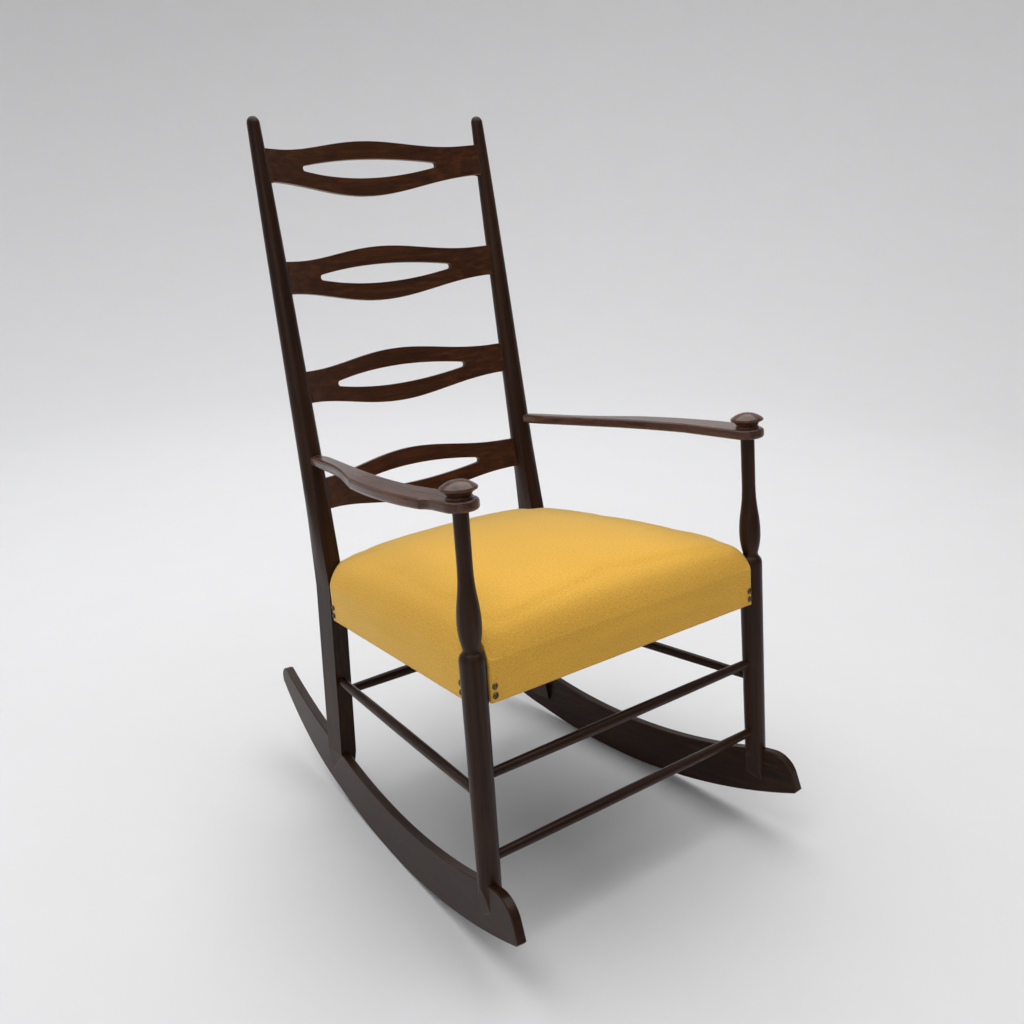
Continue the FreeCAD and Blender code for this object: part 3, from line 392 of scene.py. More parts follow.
@dataclass(frozen=True)
class CottonWadding:
    """Carded cotton over hair.

    It gives the eye an off-white tangle of fibres, with painted shade in its hollows.
    """

    name: str = "cotton_wadding"
    painted_hollow_shade: str = "a8987c"
    fibre: str = "dfd6c2"
    tangle: float = 5.5 * MM

    def build(self) -> bpy.types.Material:
        """Tangle the fibres.

        Returns:
            The material.
        """
        material, tree = new_material(self.name)
        place = add(tree, "ShaderNodeTexCoord").outputs["Object"]
        knots = add(tree, "ShaderNodeTexNoise", {
            "Vector": place, "Scale": 1 / self.tangle, "Detail": 6.0, "Distortion": 2.0})
        # painted shade: the low parts of the tangle take the darker colour
        colour = add(tree, "ShaderNodeValToRGB", {"Fac": knots.outputs["Fac"]}, stops=(
            (0.3, self.painted_hollow_shade), (0.7, self.fibre)))
        bump = add(tree, "ShaderNodeBump", {
            "Height": knots.outputs["Fac"], "Strength": 0.6, "Distance": 1.0 * MM})
        shader = add(tree, "ShaderNodeBsdfPrincipled", {
            "Base Color": colour.outputs["Color"], "Roughness": 1.0,
            "Normal": bump.outputs["Normal"]})
        add(tree, "ShaderNodeOutputMaterial", {"Surface": shader.outputs["BSDF"]})
        return material


@dataclass(frozen=True)
class StudioPaper:
    """Matte seamless paper, pale under the chair and behind it.

    It gives the eye an even floor with faint scuffs; towards the front its colour
    falls off to a grey-brown, painted shade that stands for a dim end of the room
    and keeps the polished wood dark.
    """

    name: str = "studio_paper"
    pale: str = "e4e4e5"
    scuffed: str = "e2e2e3"
    # grey-brown painted shade for the front end of the room
    dim: str = "a09a94"
    dim_from: float = 1.6
    dim_to: float = 4.4

    def build(self) -> bpy.types.Material:
        """Scuff the paper and paint shade on it towards the front.

        Returns:
            The material.
        """
        material, tree = new_material(self.name)
        place = add(tree, "ShaderNodeTexCoord").outputs["Object"]
        scuff = add(tree, "ShaderNodeTexNoise", {
            "Vector": place, "Scale": 6.0, "Detail": 8.0, "Roughness": 0.7})
        paper = add(tree, "ShaderNodeValToRGB", {"Fac": scuff.outputs["Fac"]}, stops=(
            (0.3, self.scuffed), (0.7, self.pale)))
        # painted shade: the paper's colour is darkened towards the front
        forward = add(tree, "ShaderNodeVectorMath", {
            0: place, 1: (0.42, -0.9, 0.0)}, operation="DOT_PRODUCT")
        shadow = add(tree, "ShaderNodeMapRange", {
            "Value": forward.outputs["Value"], "From Min": self.dim_from,
            "From Max": self.dim_to}, interpolation_type="SMOOTHSTEP")
        colour = add(tree, "ShaderNodeMix", {
            "Factor": shadow.outputs["Result"], 6: paper.outputs["Color"],
            7: linear(self.dim)}, data_type="RGBA")
        shader = add(tree, "ShaderNodeBsdfPrincipled", {
            "Base Color": colour.outputs[2], "Roughness": 0.8,
            "Specular IOR Level": 0.2})
        add(tree, "ShaderNodeOutputMaterial", {"Surface": shader.outputs["BSDF"]})
        return material


# ------------------------------------------------------------------ mesh helpers
def piece_from(bm: bmesh.types.BMesh, name: str, material: bpy.types.Material) -> bpy.types.Object:
    """Turn a bmesh into a smooth-shaded piece of the chair.

    Args:
        bm: the finished shape, which is freed.
        name: the piece's name.
        material: its finish.

    Returns:
        The object, linked to the scene and riding on the chair's body.
    """
    for face in bm.faces:
        face.smooth = True
    mesh = bpy.data.meshes.new(name)
    bm.to_mesh(mesh)
    bm.free()
    mesh.materials.append(material)
    piece = bpy.data.objects.new(name, mesh)
    bpy.context.scene.collection.objects.link(piece)
    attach(piece, BODY)
    return piece


def apply_modifiers(piece: bpy.types.Object) -> None:
    """Bake a piece's modifiers into its mesh.

    Args:
        piece: the piece, which is left with no modifiers.
    """
    graph = bpy.context.evaluated_depsgraph_get()
    mesh = bpy.data.meshes.new_from_object(piece.evaluated_get(graph))
    piece.modifiers.clear()
    piece.data = mesh


def thicken(piece: bpy.types.Object, thickness: float, offset: float) -> None:
    """Give a single sheet the thickness of its cloth.

    Args:
        piece: the sheet.
        thickness: how thick the cloth is.
        offset: -1 grows inwards, 0 to both sides.
    """
    solid = piece.modifiers.new("thickness", "SOLIDIFY")
    solid.thickness = thickness
    solid.offset = offset
    apply_modifiers(piece)


def lay_cloth(bm: bmesh.types.BMesh, flat: dict[bmesh.types.BMVert, Vector]) -> None:
    """Give a cloth its flat pattern in metres, so that its weave follows its threads.

    Args:
        bm: the cloth.
        flat: each vertex's place on the cloth before it was hung.
    """
    uv = bm.loops.layers.uv.new("cloth")
    for face in bm.faces:
        for loop in face.loops:
            loop[uv].uv = flat[loop.vert]


def ease(t: float) -> float:
    """Smooth step from 0 to 1."""
    t = min(max(t, 0.0), 1.0)
    return t * t * (3 - 2 * t)


# ------------------------------------------------------------------ slats
@dataclass
class LadderSlats:
    """Four bowed slats, each pierced with a long lens, with rounded arrises."""

    wood: bpy.types.Material
    names: tuple[str, ...] = ("bottom_slat", "lower_slat", "upper_slat", "top_slat")
    lowest: float = 577 * MM
    pitch: float = 170.5 * MM
    thick: float = 8 * MM
    bow: float = 42 * MM
    chord: float = 200 * MM
    reach: float = 207 * MM
    end: float = 25 * MM
    crest: float = 42.5 * MM
    belly: float = 46.5 * MM
    crest_run: float = 178 * MM
    belly_run: float = 195 * MM
    lens_run: float = 124 * MM
    lens_rise: float = 15.5 * MM
    lens_blunt: float = 4.5 * MM
    lens_drop: float = 2 * MM
    arris: float = 1.3 * MM

    def swell(self, x: float, run: float, peak: float) -> float:
        """Half height of the slat at x: square ends that swell to the middle."""
        share = min(abs(x) / run, 1.0)
        return self.end + (peak - self.end) * 0.5 * (1 + math.cos(math.pi * share))

    def lens(self, x: float) -> float:
        """Half height of the piercing: an arc with blunt round ends.

        Args:
            x: distance from the mirror plane.

        Returns:
            Half of its height there, nought past its ends.
        """
        x = abs(x)
        if x <= self.lens_run:
            extra = self.lens_rise - self.lens_blunt
            radius = (self.lens_run ** 2 + extra ** 2) / (2 * extra)
            return self.lens_rise - (radius - math.sqrt(radius ** 2 - x * x))
        past = (x - self.lens_run) / self.lens_blunt
        return self.lens_blunt * math.sqrt(max(1 - past * past, 0.0))

    def stations(self) -> list[float]:
        """Places along the slat, closer together at the lens's round ends.

        Returns:
            Distances from the mirror plane, from left to right.
        """
        tip = self.lens_run + self.lens_blunt
        turns = [self.lens_run + self.lens_blunt * math.sin(math.pi / 2 * i / 6)
                 for i in range(7)]
        inner = [self.lens_run * i / 40 for i in range(40)]
        outer = [tip + (self.reach - tip) * i / 11 for i in range(1, 12)]
        half = inner + turns + outer
        return [-x for x in reversed(half[1:])] + half

    def flat(self) -> bmesh.types.BMesh:
        """The slat's outline with its lens, as one flat sheet of quads.

        Returns:
            The sheet, in the mirror plane's x and z.
        """
        places = self.stations()
        tip = self.lens_run + self.lens_blunt
        bm = bmesh.new()
        bmesh.ops.create_grid(bm, x_segments=len(places) - 1, y_segments=3, size=1.0)
        for vert in bm.verts:
            column = round((vert.co.x + 1) / 2 * (len(places) - 1))
            row = round((vert.co.y + 1) / 2 * 3)
            x = places[column]
            opening = self.lens(x)
            if abs(x) > tip:
                opening = (abs(x) - tip) * 0.35
            height = (-self.swell(x, self.belly_run, self.belly),
                      -opening - self.lens_drop, opening - self.lens_drop,
                      self.swell(x, self.crest_run, self.crest))[row]
            vert.co = Vector((x, 0, height))
        gone = [f for f in bm.faces if abs(f.calc_center_median().x) < tip
                and abs(f.calc_center_median().z + self.lens_drop) < self.lens(
                    f.calc_center_median().x) * 0.5 + 1e-5]
        bmesh.ops.delete(bm, geom=gone, context="FACES")
        bmesh.ops.remove_doubles(bm, verts=bm.verts, dist=0.02 * MM)
        bmesh.ops.dissolve_degenerate(bm, edges=bm.edges, dist=0.01 * MM)
        return bm

    def build(self, step: int) -> bpy.types.Object:
        """One slat: outline, thickness, rounded arrises, then the bow.

        Args:
            step: which slat, counted from the lowest.

        Returns:
            The slat in its place between the back posts.
        """
        name = self.names[step]
        bm = self.flat()
        sheet = bmesh.ops.extrude_face_region(bm, geom=list(bm.faces))
        raised = [g for g in sheet["geom"] if isinstance(g, bmesh.types.BMVert)]
        bmesh.ops.translate(bm, verts=raised, vec=(0, self.thick, 0))
        bmesh.ops.translate(bm, verts=bm.verts, vec=(0, -self.thick / 2, 0))
        bmesh.ops.recalc_face_normals(bm, faces=bm.faces)
        sharp = [e for e in bm.edges if e.is_manifold and e.calc_face_angle(0) > 0.9
                 and abs(e.verts[0].co.x + e.verts[1].co.x) / 2 < self.reach - self.arris]
        bmesh.ops.bevel(bm, geom=sharp, offset=self.arris, offset_type="OFFSET",
                        segments=3, profile=0.5, affect="EDGES", material=-1,
                        clamp_overlap=True)
        radius = (self.chord ** 2 + self.bow ** 2) / (2 * self.bow)
        for vert in bm.verts:
            rim = radius + vert.co.y
            depth = math.sqrt(rim ** 2 - vert.co.x ** 2) - (radius - self.bow)
            vert.co = Vector((vert.co.x, depth, vert.co.z))
        level = self.lowest + self.pitch * step
        lean = Matrix.Rotation(-STANCE.back_lean, 4, "X")
        seat = Matrix.Translation((0, STANCE.back_line(level), level))
        bm.transform(STANCE.matrix() @ seat @ lean)
        piece = piece_from(bm, name + "_shaped", self.wood)
        piece.modifiers.new("even_shading", "WEIGHTED_NORMAL")
        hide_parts(name)
        return piece


# ------------------------------------------------------------------ seat
@dataclass(frozen=True)
class SeatPlan:
    """The seat's outline from above, on the square chair, notched for its posts."""

    front: float = -12.5 * MM
    back: float = 474 * MM
    side: float = 271.2 * MM
    toe: float = math.radians(5.86)
    post_x: float = 268.8 * MM
    notch: float = 18.3 * MM
    corner_x: float = 256 * MM
    rear_x: float = 199.3 * MM
    rear_y: float = 442.2 * MM
    corner_share: float = 0.9

    def side_x(self, y: float, out: float) -> float:
        """Half width at depth y, let out by a distance."""
        return self.side - math.tan(self.toe) * y + out / math.cos(self.toe)

    def notch_point(self, share: float, out: float) -> Vector:
        """Point on the cut round a front post, from the front edge to the side.

        Args:
            share: 0 at the front edge, 1 at the side.
            out: how far the outline is let out from the rails.

        Returns:
            The point on the square chair's plan.
        """
        start = math.atan2(self.front - out, self.corner_x - self.post_x) + 2 * math.pi
        side_y = 18 * MM
        end = math.atan2(side_y, self.side_x(side_y, out) - self.post_x)
        angle = start + (end - start) * share
        reach = self.notch
        if share <= 0:
            return Vector((self.corner_x, self.front - out))
        if share >= 1:
            return Vector((self.side_x(side_y, out), side_y))
        return Vector((self.post_x + reach * math.cos(angle), reach * math.sin(angle)))

    def rim(self, u: float, v: float, out: float) -> Vector:
        """Point of the outline for a point of the square's edge.

        Args:
            u: across, -1 to 1.
            v: front to back, -1 to 1; one of the two is at its limit.
            out: how far the outline is let out from the rails.

        Returns:
            The point on the square chair's plan.
        """
        flip = -1 if u < 0 else 1
        u = abs(u)
        c = self.corner_share
        half = 0.5 / (1 - c)
        if v <= -1 and u <= c:
            point = Vector((u / c * self.corner_x, self.front - out))
        elif v <= -1:
            point = self.notch_point((u - c) * half, out)
        elif v >= 1 and u <= c:
            point = Vector((u / c * self.rear_x, self.back + out))
        elif v >= 1:
            share = (u - c) / (1 - c)
            point = Vector((self.rear_x, self.back + out + share * (
                self.rear_y - self.back - out)))
        elif v < -c:
            point = self.notch_point(0.5 + (-c - v) * -half + 0.5, out)
        elif v > c:
            share = (v - c) / (1 - c)
            side = self.side_x(self.rear_y, out)
            point = Vector((side + share * (self.rear_x - side), self.rear_y))
        else:
            low = 18 * MM
            y = low + (v + c) / (2 * c) * (self.rear_y - low)
            point = Vector((self.side_x(y, out), y))
        return Vector((point.x * flip, point.y))

    def depth_in(self, x: float, y: float, out: float, blend: float) -> float:
        """Distance in from the four edges, rounded together at the corners.

        Args:
            x: distance from the mirror plane.
            y: depth on the square chair.
            out: how far the outline is let out from the rails.
            blend: how widely two edges round into each other.

        Returns:
            The distance, below nought outside the outline.
        """
        lean = math.cos(self.toe)
        gaps = (y - self.front + out, self.back + out - y,
                (self.side_x(y, out) - x) * lean, (self.side_x(y, out) + x) * lean)
        return -blend * math.log(sum(math.exp(-g / blend) for g in gaps))


@dataclass
class StuffedSeat:
    """The upholstery: webbing, hessian, stuffing, wool cover and dust cover."""

    plan: SeatPlan
    wool: bpy.types.Material
    wadding: bpy.types.Material
    jute: bpy.types.Material
    sacking: bpy.types.Material
    cambric: bpy.types.Material
    out: float = 2.6 * MM
    hem: float = 380.5 * MM
    edge_high: float = 438 * MM
    edge_rise: float = 33 * MM
    edge_run: float = 11 * MM
    over_edge: float = 24 * MM
    crown_rise: float = 37 * MM
    crown_power: float = 0.62
    half_deep: float = 245 * MM
    corner_blend: float = 13 * MM
    segments: int = 72
    skirt_rows: int = 9
    cloth_thick: float = 1.6 * MM
    cap: float = 3.5 * MM
    tacked_high: float = 30 * MM
    pressure: float = 4.0
    frames: int = 20
    shrink: float = 6.5 * MM
    rail_top: float = 432 * MM
    rail_low: float = 383 * MM
    wave: float = 0.5 * MM
    ripple: float = 0.15 * MM
    tuck_x: float = 249 * MM
    tuck_y: float = 5 * MM
    tuck_z: float = 452 * MM
    tuck_deep: float = 2.2 * MM
    tuck_swell: float = 1.0 * MM
    tuck_wide: float = 3.5 * MM
    tuck_reach: float = 20 * MM
    wrap: float = 125 * MM
    cover_share: float = 0.72
    panel_share: float = 0.88
    straps: int = 4
    strap_wide: float = 50 * MM
    strap_thick: float = 1.0 * MM
    strap_lift: float = 0.3 * MM
    long_pitch: float = 92 * MM
    cross_first: float = 58 * MM
    cross_pitch: float = 112 * MM

    def crown(self, x: float, y: float, inset: float) -> float:
        """Height of the stuffed top.

        Args:
            x: distance from the mirror plane.
            y: depth on the square chair.
            inset: distance in from the nearest edge.

        Returns:
            The height on the square chair.
        """
        plan = self.plan
        inset = max(inset, 0.0)
        middle = (plan.front + plan.back) / 2
        across = min(abs(x) / (plan.side_x(y, 0)), 1.0)
        along = min(abs(y - middle) / self.half_deep, 1.0)
        dome = ((1 - across ** 2) * (1 - along ** 2)) ** self.crown_power
        roll = self.edge_rise * (1 - math.exp(-inset / self.edge_run))
        return self.edge_high + roll + self.crown_rise * dome

    def place_on_plan(self, u: float, v: float, out: float) -> tuple[Vector, float]:
        """Plan point of a grid point, with rings that crowd towards the edge.

        Args:
            u: across, -1 to 1.
            v: front to back, -1 to 1.
            out: how far the outline is let out from the rails.

        Returns:
            The point, and its distance in from the nearest edge.
        """
        reach = max(abs(u), abs(v))
        centre = Vector((0, (self.plan.front + self.plan.back) / 2))
        if reach < 1e-6:
            return centre, self.half_deep
        share = (1 - reach) ** 1.8
        rim = self.plan.rim(u / reach, v / reach, out)
        point = rim + (centre - rim) * share
        return point, self.plan.depth_in(point.x, point.y, out, self.corner_blend)

    def cover_mesh(self) -> bmesh.types.BMesh:
        """The cover on the square chair: a crowned top and a skirt on all sides.

        Returns:
            The cover as one open sheet, with its flat pattern laid.
        """
        bm = bmesh.new()
        bmesh.ops.create_grid(bm, x_segments=self.segments, y_segments=self.segments, size=1.0)
        flat = bm.verts.layers.float_vector.new("flat")
        centre = Vector((0, (self.plan.front + self.plan.back) / 2))
        for vert in bm.verts:
            point, inset = self.place_on_plan(vert.co.x, vert.co.y, self.out)
            vert.co = Vector((point.x, point.y, self.crown(point.x, point.y, inset)))
            inset = max(inset, 0)
            longer = self.over_edge * math.exp(-inset / self.edge_run)
            away = point - centre
            spread = away * (1 + longer / max(away.length, 1 * MM))
            vert[flat] = Vector((spread.x, spread.y + centre.y, 0))
        edges = [e for e in bm.edges if e.is_boundary]
        for row in range(1, self.skirt_rows + 1):
            grown = bmesh.ops.extrude_edge_only(bm, edges=edges)["geom"]
            verts = [g for g in grown if isinstance(g, bmesh.types.BMVert)]
            edges = [g for g in grown if isinstance(g, bmesh.types.BMEdge)]
            fall = 1 / (self.skirt_rows + 1 - row)
            for vert in verts:
                drop = (vert.co.z - self.hem) * fall
                away = vert[flat].xy - Vector((0, 0.23))
                vert.co.z -= drop
                vert[flat] = vert[flat] + Vector((away.x, away.y, 0)).normalized() * drop
        bmesh.ops.recalc_face_normals(bm, faces=bm.faces)
        top = max(bm.faces, key=lambda f: f.calc_center_median().z)
        if top.normal.z < 0:
            bmesh.ops.reverse_faces(bm, faces=bm.faces)
        return bm

    def lay_uv(self, bm: bmesh.types.BMesh) -> None:
        """Give the cloth a flat pattern in metres, unfolded over its edges.

        Args:
            bm: the cover.
        """
        uv = bm.loops.layers.uv.new("cloth")
        flat = bm.verts.layers.float_vector.get("flat")
        for face in bm.faces:
            for loop in face.loops:
                loop[uv].uv = loop.vert[flat].xy

    def settle(self, piece: bpy.types.Object) -> None:
        """Blow the cover out against its tacked hem, and cap how far it moves.

        Args:
            piece: the cover on the square chair.
        """
        mesh = piece.data
        start = [v.co.copy() for v in mesh.vertices]
        outward = [v.normal.copy() for v in mesh.vertices]
        held = piece.vertex_groups.new(name="tacked")
        for vert in mesh.vertices:
            weight = 1 - ease((vert.co.z - self.hem) / self.tacked_high)
            held.add([vert.index], weight, "REPLACE")
        cloth = piece.modifiers.new("cloth", "CLOTH")
        cloth.settings.quality = 5
        cloth.settings.mass = 0.4
        cloth.settings.tension_stiffness = 25
        cloth.settings.bending_stiffness = 4
        cloth.settings.use_pressure = True
        cloth.settings.uniform_pressure_force = self.pressure
        cloth.settings.vertex_group_mass = "tacked"
        cloth.settings.effector_weights.gravity = 0
        for frame in range(1, self.frames + 1):
            bpy.context.scene.frame_set(frame)
        apply_modifiers(piece)
        bpy.context.scene.frame_set(1)
        for vert, first, away in zip(piece.data.vertices, start, outward):
            swell = max((vert.co - first).dot(away), 0.0)
            vert.co = first + away * self.cap * math.tanh(swell / self.cap)

    def soften(self, piece: bpy.types.Object) -> None:
        """Hand-pulled unevenness: slow waves, and tucks beside the posts.

        Args:
            piece: the cover on the square chair.
        """
        tucks = [(Vector((side * self.tuck_x, self.tuck_y, self.tuck_z)), side)
                 for side in (-1, 1)]
        for vert in piece.data.vertices:
            co = vert.co
            wave = noise.noise(co * 14)
            fine = noise.noise(co * 70 + Vector((5, 1, 3)))
            depth = wave * self.wave + fine * self.ripple
            for spot, side in tucks:
                away = co - spot
                across = (away.x * side - away.y) * 0.7
                near = math.exp(-(away.length / self.tuck_reach) ** 2)
                depth -= near * self.tuck_deep * math.exp(-(across / self.tuck_wide) ** 2)
                depth += near * self.tuck_swell
            free = ease((co.z - self.hem) / (12 * MM))
            vert.co = co + vert.normal * depth * (0.3 + 0.7 * free)

    def cover(self) -> bpy.types.Object:
        """The wool cover, pulled over the stuffing and nailed at the posts.

        Returns:
            The cover at rest.
        """
        bm = self.cover_mesh()
        self.lay_uv(bm)
        piece = piece_from(bm, "wool_seat_cover", self.wool)
        self.settle(piece)
        self.soften(piece)
        fine = piece.modifiers.new("fine", "SUBSURF")
        fine.levels = fine.render_levels = 1
        apply_modifiers(piece)
        piece.data.transform(STANCE.matrix())
        thicken(piece, self.cloth_thick, -1)
        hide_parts("seat_cover")
        return piece

    def stuffing(self) -> bpy.types.Object:
        """The stuffed core, rebuilt from its solid with soft lumps.

        Returns:
            The stuffing at rest, a little smaller than its cover.
        """
        name = "seat_padding"
        bm = bmesh.new()
        bm.from_mesh(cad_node(name).data)
        bmesh.ops.remove_doubles(bm, verts=bm.verts, dist=0.05 * MM)
        piece = piece_from(bm, "cotton_stuffing", self.wadding)
        piece.data.materials.clear()
        piece.data.materials.append(self.wadding)
        remesh = piece.modifiers.new("remesh", "REMESH")
        remesh.mode = "VOXEL"
        remesh.voxel_size = 6 * MM
        remesh.use_smooth_shade = True
        smooth = piece.modifiers.new("smooth", "SMOOTH")
        smooth.factor = 0.5
        smooth.iterations = 6
        apply_modifiers(piece)
        square = STANCE.matrix().inverted()
        for vert in piece.data.vertices:
            lump = noise.noise(vert.co * 45) * 0.8 * MM - self.shrink
            level = square @ (vert.co + vert.normal * lump)
            inset = self.plan.depth_in(level.x, level.y, 0.0, self.corner_blend)
            level.z = min(level.z, self.crown(level.x, level.y, inset) - self.shrink)
            vert.co = STANCE.matrix() @ level
        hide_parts(name)
        return piece

    def panel(self, name: str, node: str, corners: float, level: float, sag: float,
              thick: float, material: bpy.types.Material) -> bpy.types.Object:
        """A flat cloth the shape of the seat, tacked round its edge.

        Args:
            name: the piece's name.
            node: the solid that it stands for.
            corners: distance of its edge in from the rail faces.
            level: height of its middle plane on the square chair.
            sag: how far its middle hangs.
            thick: thickness of the cloth.
            material: its finish.

        Returns:
            The new piece.
        """
        bm = bmesh.new()
        bmesh.ops.create_grid(bm, x_segments=56, y_segments=56, size=1.0)
        uv_at = {}
        for vert in bm.verts:
            u, v = vert.co.x, vert.co.y
            front = self.plan.front + corners
            back = self.plan.back - corners
            reach = max(abs(u), abs(v))
            middle = Vector((0, (front + back) / 2))
            rim = middle
            if reach > 1e-6:
                rim = self.clear_rim(u / reach, v / reach, front, back, corners)
            point = middle + (rim - middle) * reach
            hang = sag * ease((1 - reach) * 1.3)
            ripple = noise.noise(Vector((point.x, point.y, 0)) * 16) * 0.6 * MM
            ripple *= 1 - reach ** 4
            vert.co = Vector((point.x, point.y, level - hang + ripple))
            uv_at[vert] = point
        lay_cloth(bm, uv_at)
        bmesh.ops.recalc_face_normals(bm, faces=bm.faces)
        bm.transform(STANCE.matrix())
        piece = piece_from(bm, name, material)
        thicken(piece, thick, 0)
        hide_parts(node)
        return piece

    def clear_rim(self, u: float, v: float, front: float, back: float,
                  inset: float) -> Vector:
        """Edge of a flat panel whose corners are cut clear of the posts.

        Args:
            u: across, -1 to 1.
            v: front to back, -1 to 1; one of the two is at its limit.
            front: depth of the panel's front edge.
            back: depth of the panel's back edge.
            inset: distance of its sides in from the rail faces.

        Returns:
            The point on the square chair's plan.
        """
        plan = self.plan
        flip = -1 if u < 0 else 1
        u = abs(u)
        c = plan.corner_share
        front_x = plan.side_x(front, -inset) - 30 * MM
        side_low = front + 60 * MM
        post_in = plan.rear_x - 0.3 * MM
        side_high = plan.rear_y - 1.2 * MM
        low = Vector((front_x, front))
        near = Vector((plan.side_x(side_low, -inset), side_low))
        far = Vector((plan.side_x(side_high, -inset), side_high))
        if v <= -1:
            point = Vector((u / c * front_x, front)) if u <= c else low.lerp(
                near, (u - c) / (1 - c) / 2)
        elif v >= 1:
            point = Vector((u / c * post_in, back)) if u <= c else Vector(
                (post_in, back + (u - c) / (1 - c) * (side_high - back)))
        elif v < -c:
            point = low.lerp(near, 0.5 + (v + 1) / (1 - c) / 2)
        elif v > c:
            point = far.lerp(Vector((post_in, side_high)), (v - c) / (1 - c))
        else:
            point = near.lerp(far, (v + c) / (2 * c))
        return Vector((point.x * flip, point.y))

    def strap(self, length: float, width: float, x: float, y: float,
              level: float, turned: bool, over: int) -> bmesh.types.BMesh:
        """One strap of webbing that passes over and under its neighbours.

        Args:
            length: from rail to rail.
            width: of the webbing.
            x: its middle across the chair.
            y: its middle's depth on the square chair.
            level: its height on the square chair.
            turned: whether it runs from front to back.
            over: its place in the row, which sets where it passes over first.

        Returns:
            The strap as one sheet, at rest.
        """
        bm = bmesh.new()
        bmesh.ops.create_grid(bm, x_segments=60, y_segments=4, size=0.5)
        uv_at = {}
        for vert in bm.verts:
            along, across = vert.co.x * length, vert.co.y * width
            lift = self.strap_lift * math.sin(
                along / (length / self.straps) * math.pi + over * math.pi)
            spot = (across, along) if turned else (along, across)
            vert.co = Vector((x + spot[0], y + spot[1], level + lift))
            uv_at[vert] = Vector((along, across + over * width))
        lay_cloth(bm, uv_at)
        bmesh.ops.recalc_face_normals(bm, faces=bm.faces)
        bm.transform(STANCE.matrix())
        return bm

    def webbing(self, name: str, node: str, turned: bool) -> list[bpy.types.Object]:
        """The four straps that run one way, each its own sheet.

        Args:
            name: the straps' name, to which their number is added.
            node: the solid that they stand for.
            turned: whether they run from front to back.

        Returns:
            The straps.
        """
        straps = []
        wide = self.strap_wide
        for i in range(self.straps):
            if turned:
                x = self.long_pitch * (i - (self.straps - 1) / 2)
                y = (self.plan.front + self.plan.back) / 2
                length = self.plan.back - self.plan.front - 10 * MM
                level = self.rail_top + 2.4 * MM
            else:
                x = 0.0
                y = self.cross_first + self.cross_pitch * i
                length = 2 * self.plan.side_x(y + wide / 2, -5 * MM)
                level = self.rail_top + 0.8 * MM
            bm = self.strap(length, wide, x, y, level, turned, i)
            piece = piece_from(bm, "%s_%d" % (name, i + 1), self.jute)
            thicken(piece, self.strap_thick, 0)
            straps.append(piece)
        for piece in straps:
            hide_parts(node)
        return straps

    def build(self) -> list[bpy.types.Object]:
        """All of the upholstery, from the webbing outwards.

        Returns:
            Every piece of it.
        """
        plan = self.plan
        wide = 2 * plan.side_x(plan.front, 0)
        pieces = self.webbing("cross_webbing", "webbing_crosswise", False)
        pieces += self.webbing("long_webbing", "webbing_lengthwise", True)
        sacking = self.panel("hessian_sacking", "hessian", 4 * MM, self.rail_top + 3.6 * MM,
                             0.0, 0.8 * MM, self.sacking)
        under = self.panel("dust_cover_cambric", "dust_cover", 3 * MM,
                           self.rail_low - 0.4 * MM, 4 * MM, 0.6 * MM, self.cambric)
        stuffing = self.stuffing()
        cover = self.cover()
        return pieces + [sacking, under, stuffing, cover]


# ------------------------------------------------------------------ wood and metal
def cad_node(name: str) -> bpy.types.Object:
    """The frame's object for a node."""
    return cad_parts[name]


@dataclass
class Joinery:
    """The turned and sawn pieces, which keep their solids and take a finish."""

    upright: bpy.types.Material
    front_upright: bpy.types.Material
    across: bpy.types.Material
    fore_aft: bpy.types.Material
    handled: bpy.types.Material
    plain: bpy.types.Material

    def groups(self) -> dict[str, tuple[bpy.types.Material, tuple[str, ...]]]:
        """The nodes that each finish covers, by the way the grain runs.

        Returns:
            A label for the group, to its finish and its nodes' names.
        """
        both = ("left", "right")
        ends = [e + "_" + s for e in ("front", "back") for s in both]
        return {
            "back posts": (self.upright, tuple("back_post_" + s for s in both)),
            "front posts": (self.front_upright, tuple("front_post_" + s for s in both)),
            "arms": (self.handled, tuple("arm_" + s for s in both)
                     + tuple("arm_knob_" + s for s in both)),
            "rockers": (self.fore_aft, tuple("rocker_" + s for s in both)
                        + tuple("side_stretcher_" + s for s in both)),
            "stretchers": (self.across, ("front_stretcher_lower", "front_stretcher_upper",
                                         "back_stretcher", "rocker_pegs")),
            "seat frame": (self.plain, ("seat_rail_front", "seat_rail_back", "seat_rail_left",
                                        "seat_rail_right")
                           + tuple("corner_block_" + e for e in ends)),
        }

    def dress(self) -> None:
        """Assign every finish."""
        for label, (material, names) in self.groups().items():
            for name in names:
                dress_node(name, material)
            LOG.info("dressed %s: %s", label, ", ".join(names))


def dress_node(name: str, material: bpy.types.Material) -> None:
    """Put one finish on all of a node's material slots.

    Args:
        name: the node's name.
        material: the finish.
    """
    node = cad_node(name)
    if not node.material_slots:
        node.data.materials.append(material)
    for slot in node.material_slots:
        slot.material = material


@dataclass
class Fixings:
    """Cover nails, tacks and screws."""

    bronze: bpy.types.Material
    blued: bpy.types.Material
    zinc: bpy.types.Material

    def dress(self) -> None:
        """Assign the metals."""
        pairs = (("cover_nails", self.bronze), ("dust_cover_tacks", self.blued),
                 ("corner_block_screws", self.zinc))
        for name, material in pairs:
            dress_node(name, material)
            LOG.info("dressed %s", name)


# ------------------------------------------------------------------ studio
@dataclass(frozen=True)
class Lamp:
    """A square soft light aimed at a point."""

    name: str
    power: float
    size: float
    at: tuple[float, float, float]
    aim: tuple[float, float, float]
    tint: str = "ffffff"

    def hang(self) -> None:
        """Make the light and turn its face to its aim."""
        light = bpy.data.lights.new(self.name, "AREA")
        light.energy = self.power
        light.size = self.size
        light.color = linear(self.tint)[:3]
        lamp = bpy.data.objects.new(self.name, light)
        lamp.location = self.at
        facing = (Vector(self.aim) - Vector(self.at)).to_track_quat("-Z", "Y")
        lamp.rotation_euler = facing.to_euler()
        bpy.context.scene.collection.objects.link(lamp)


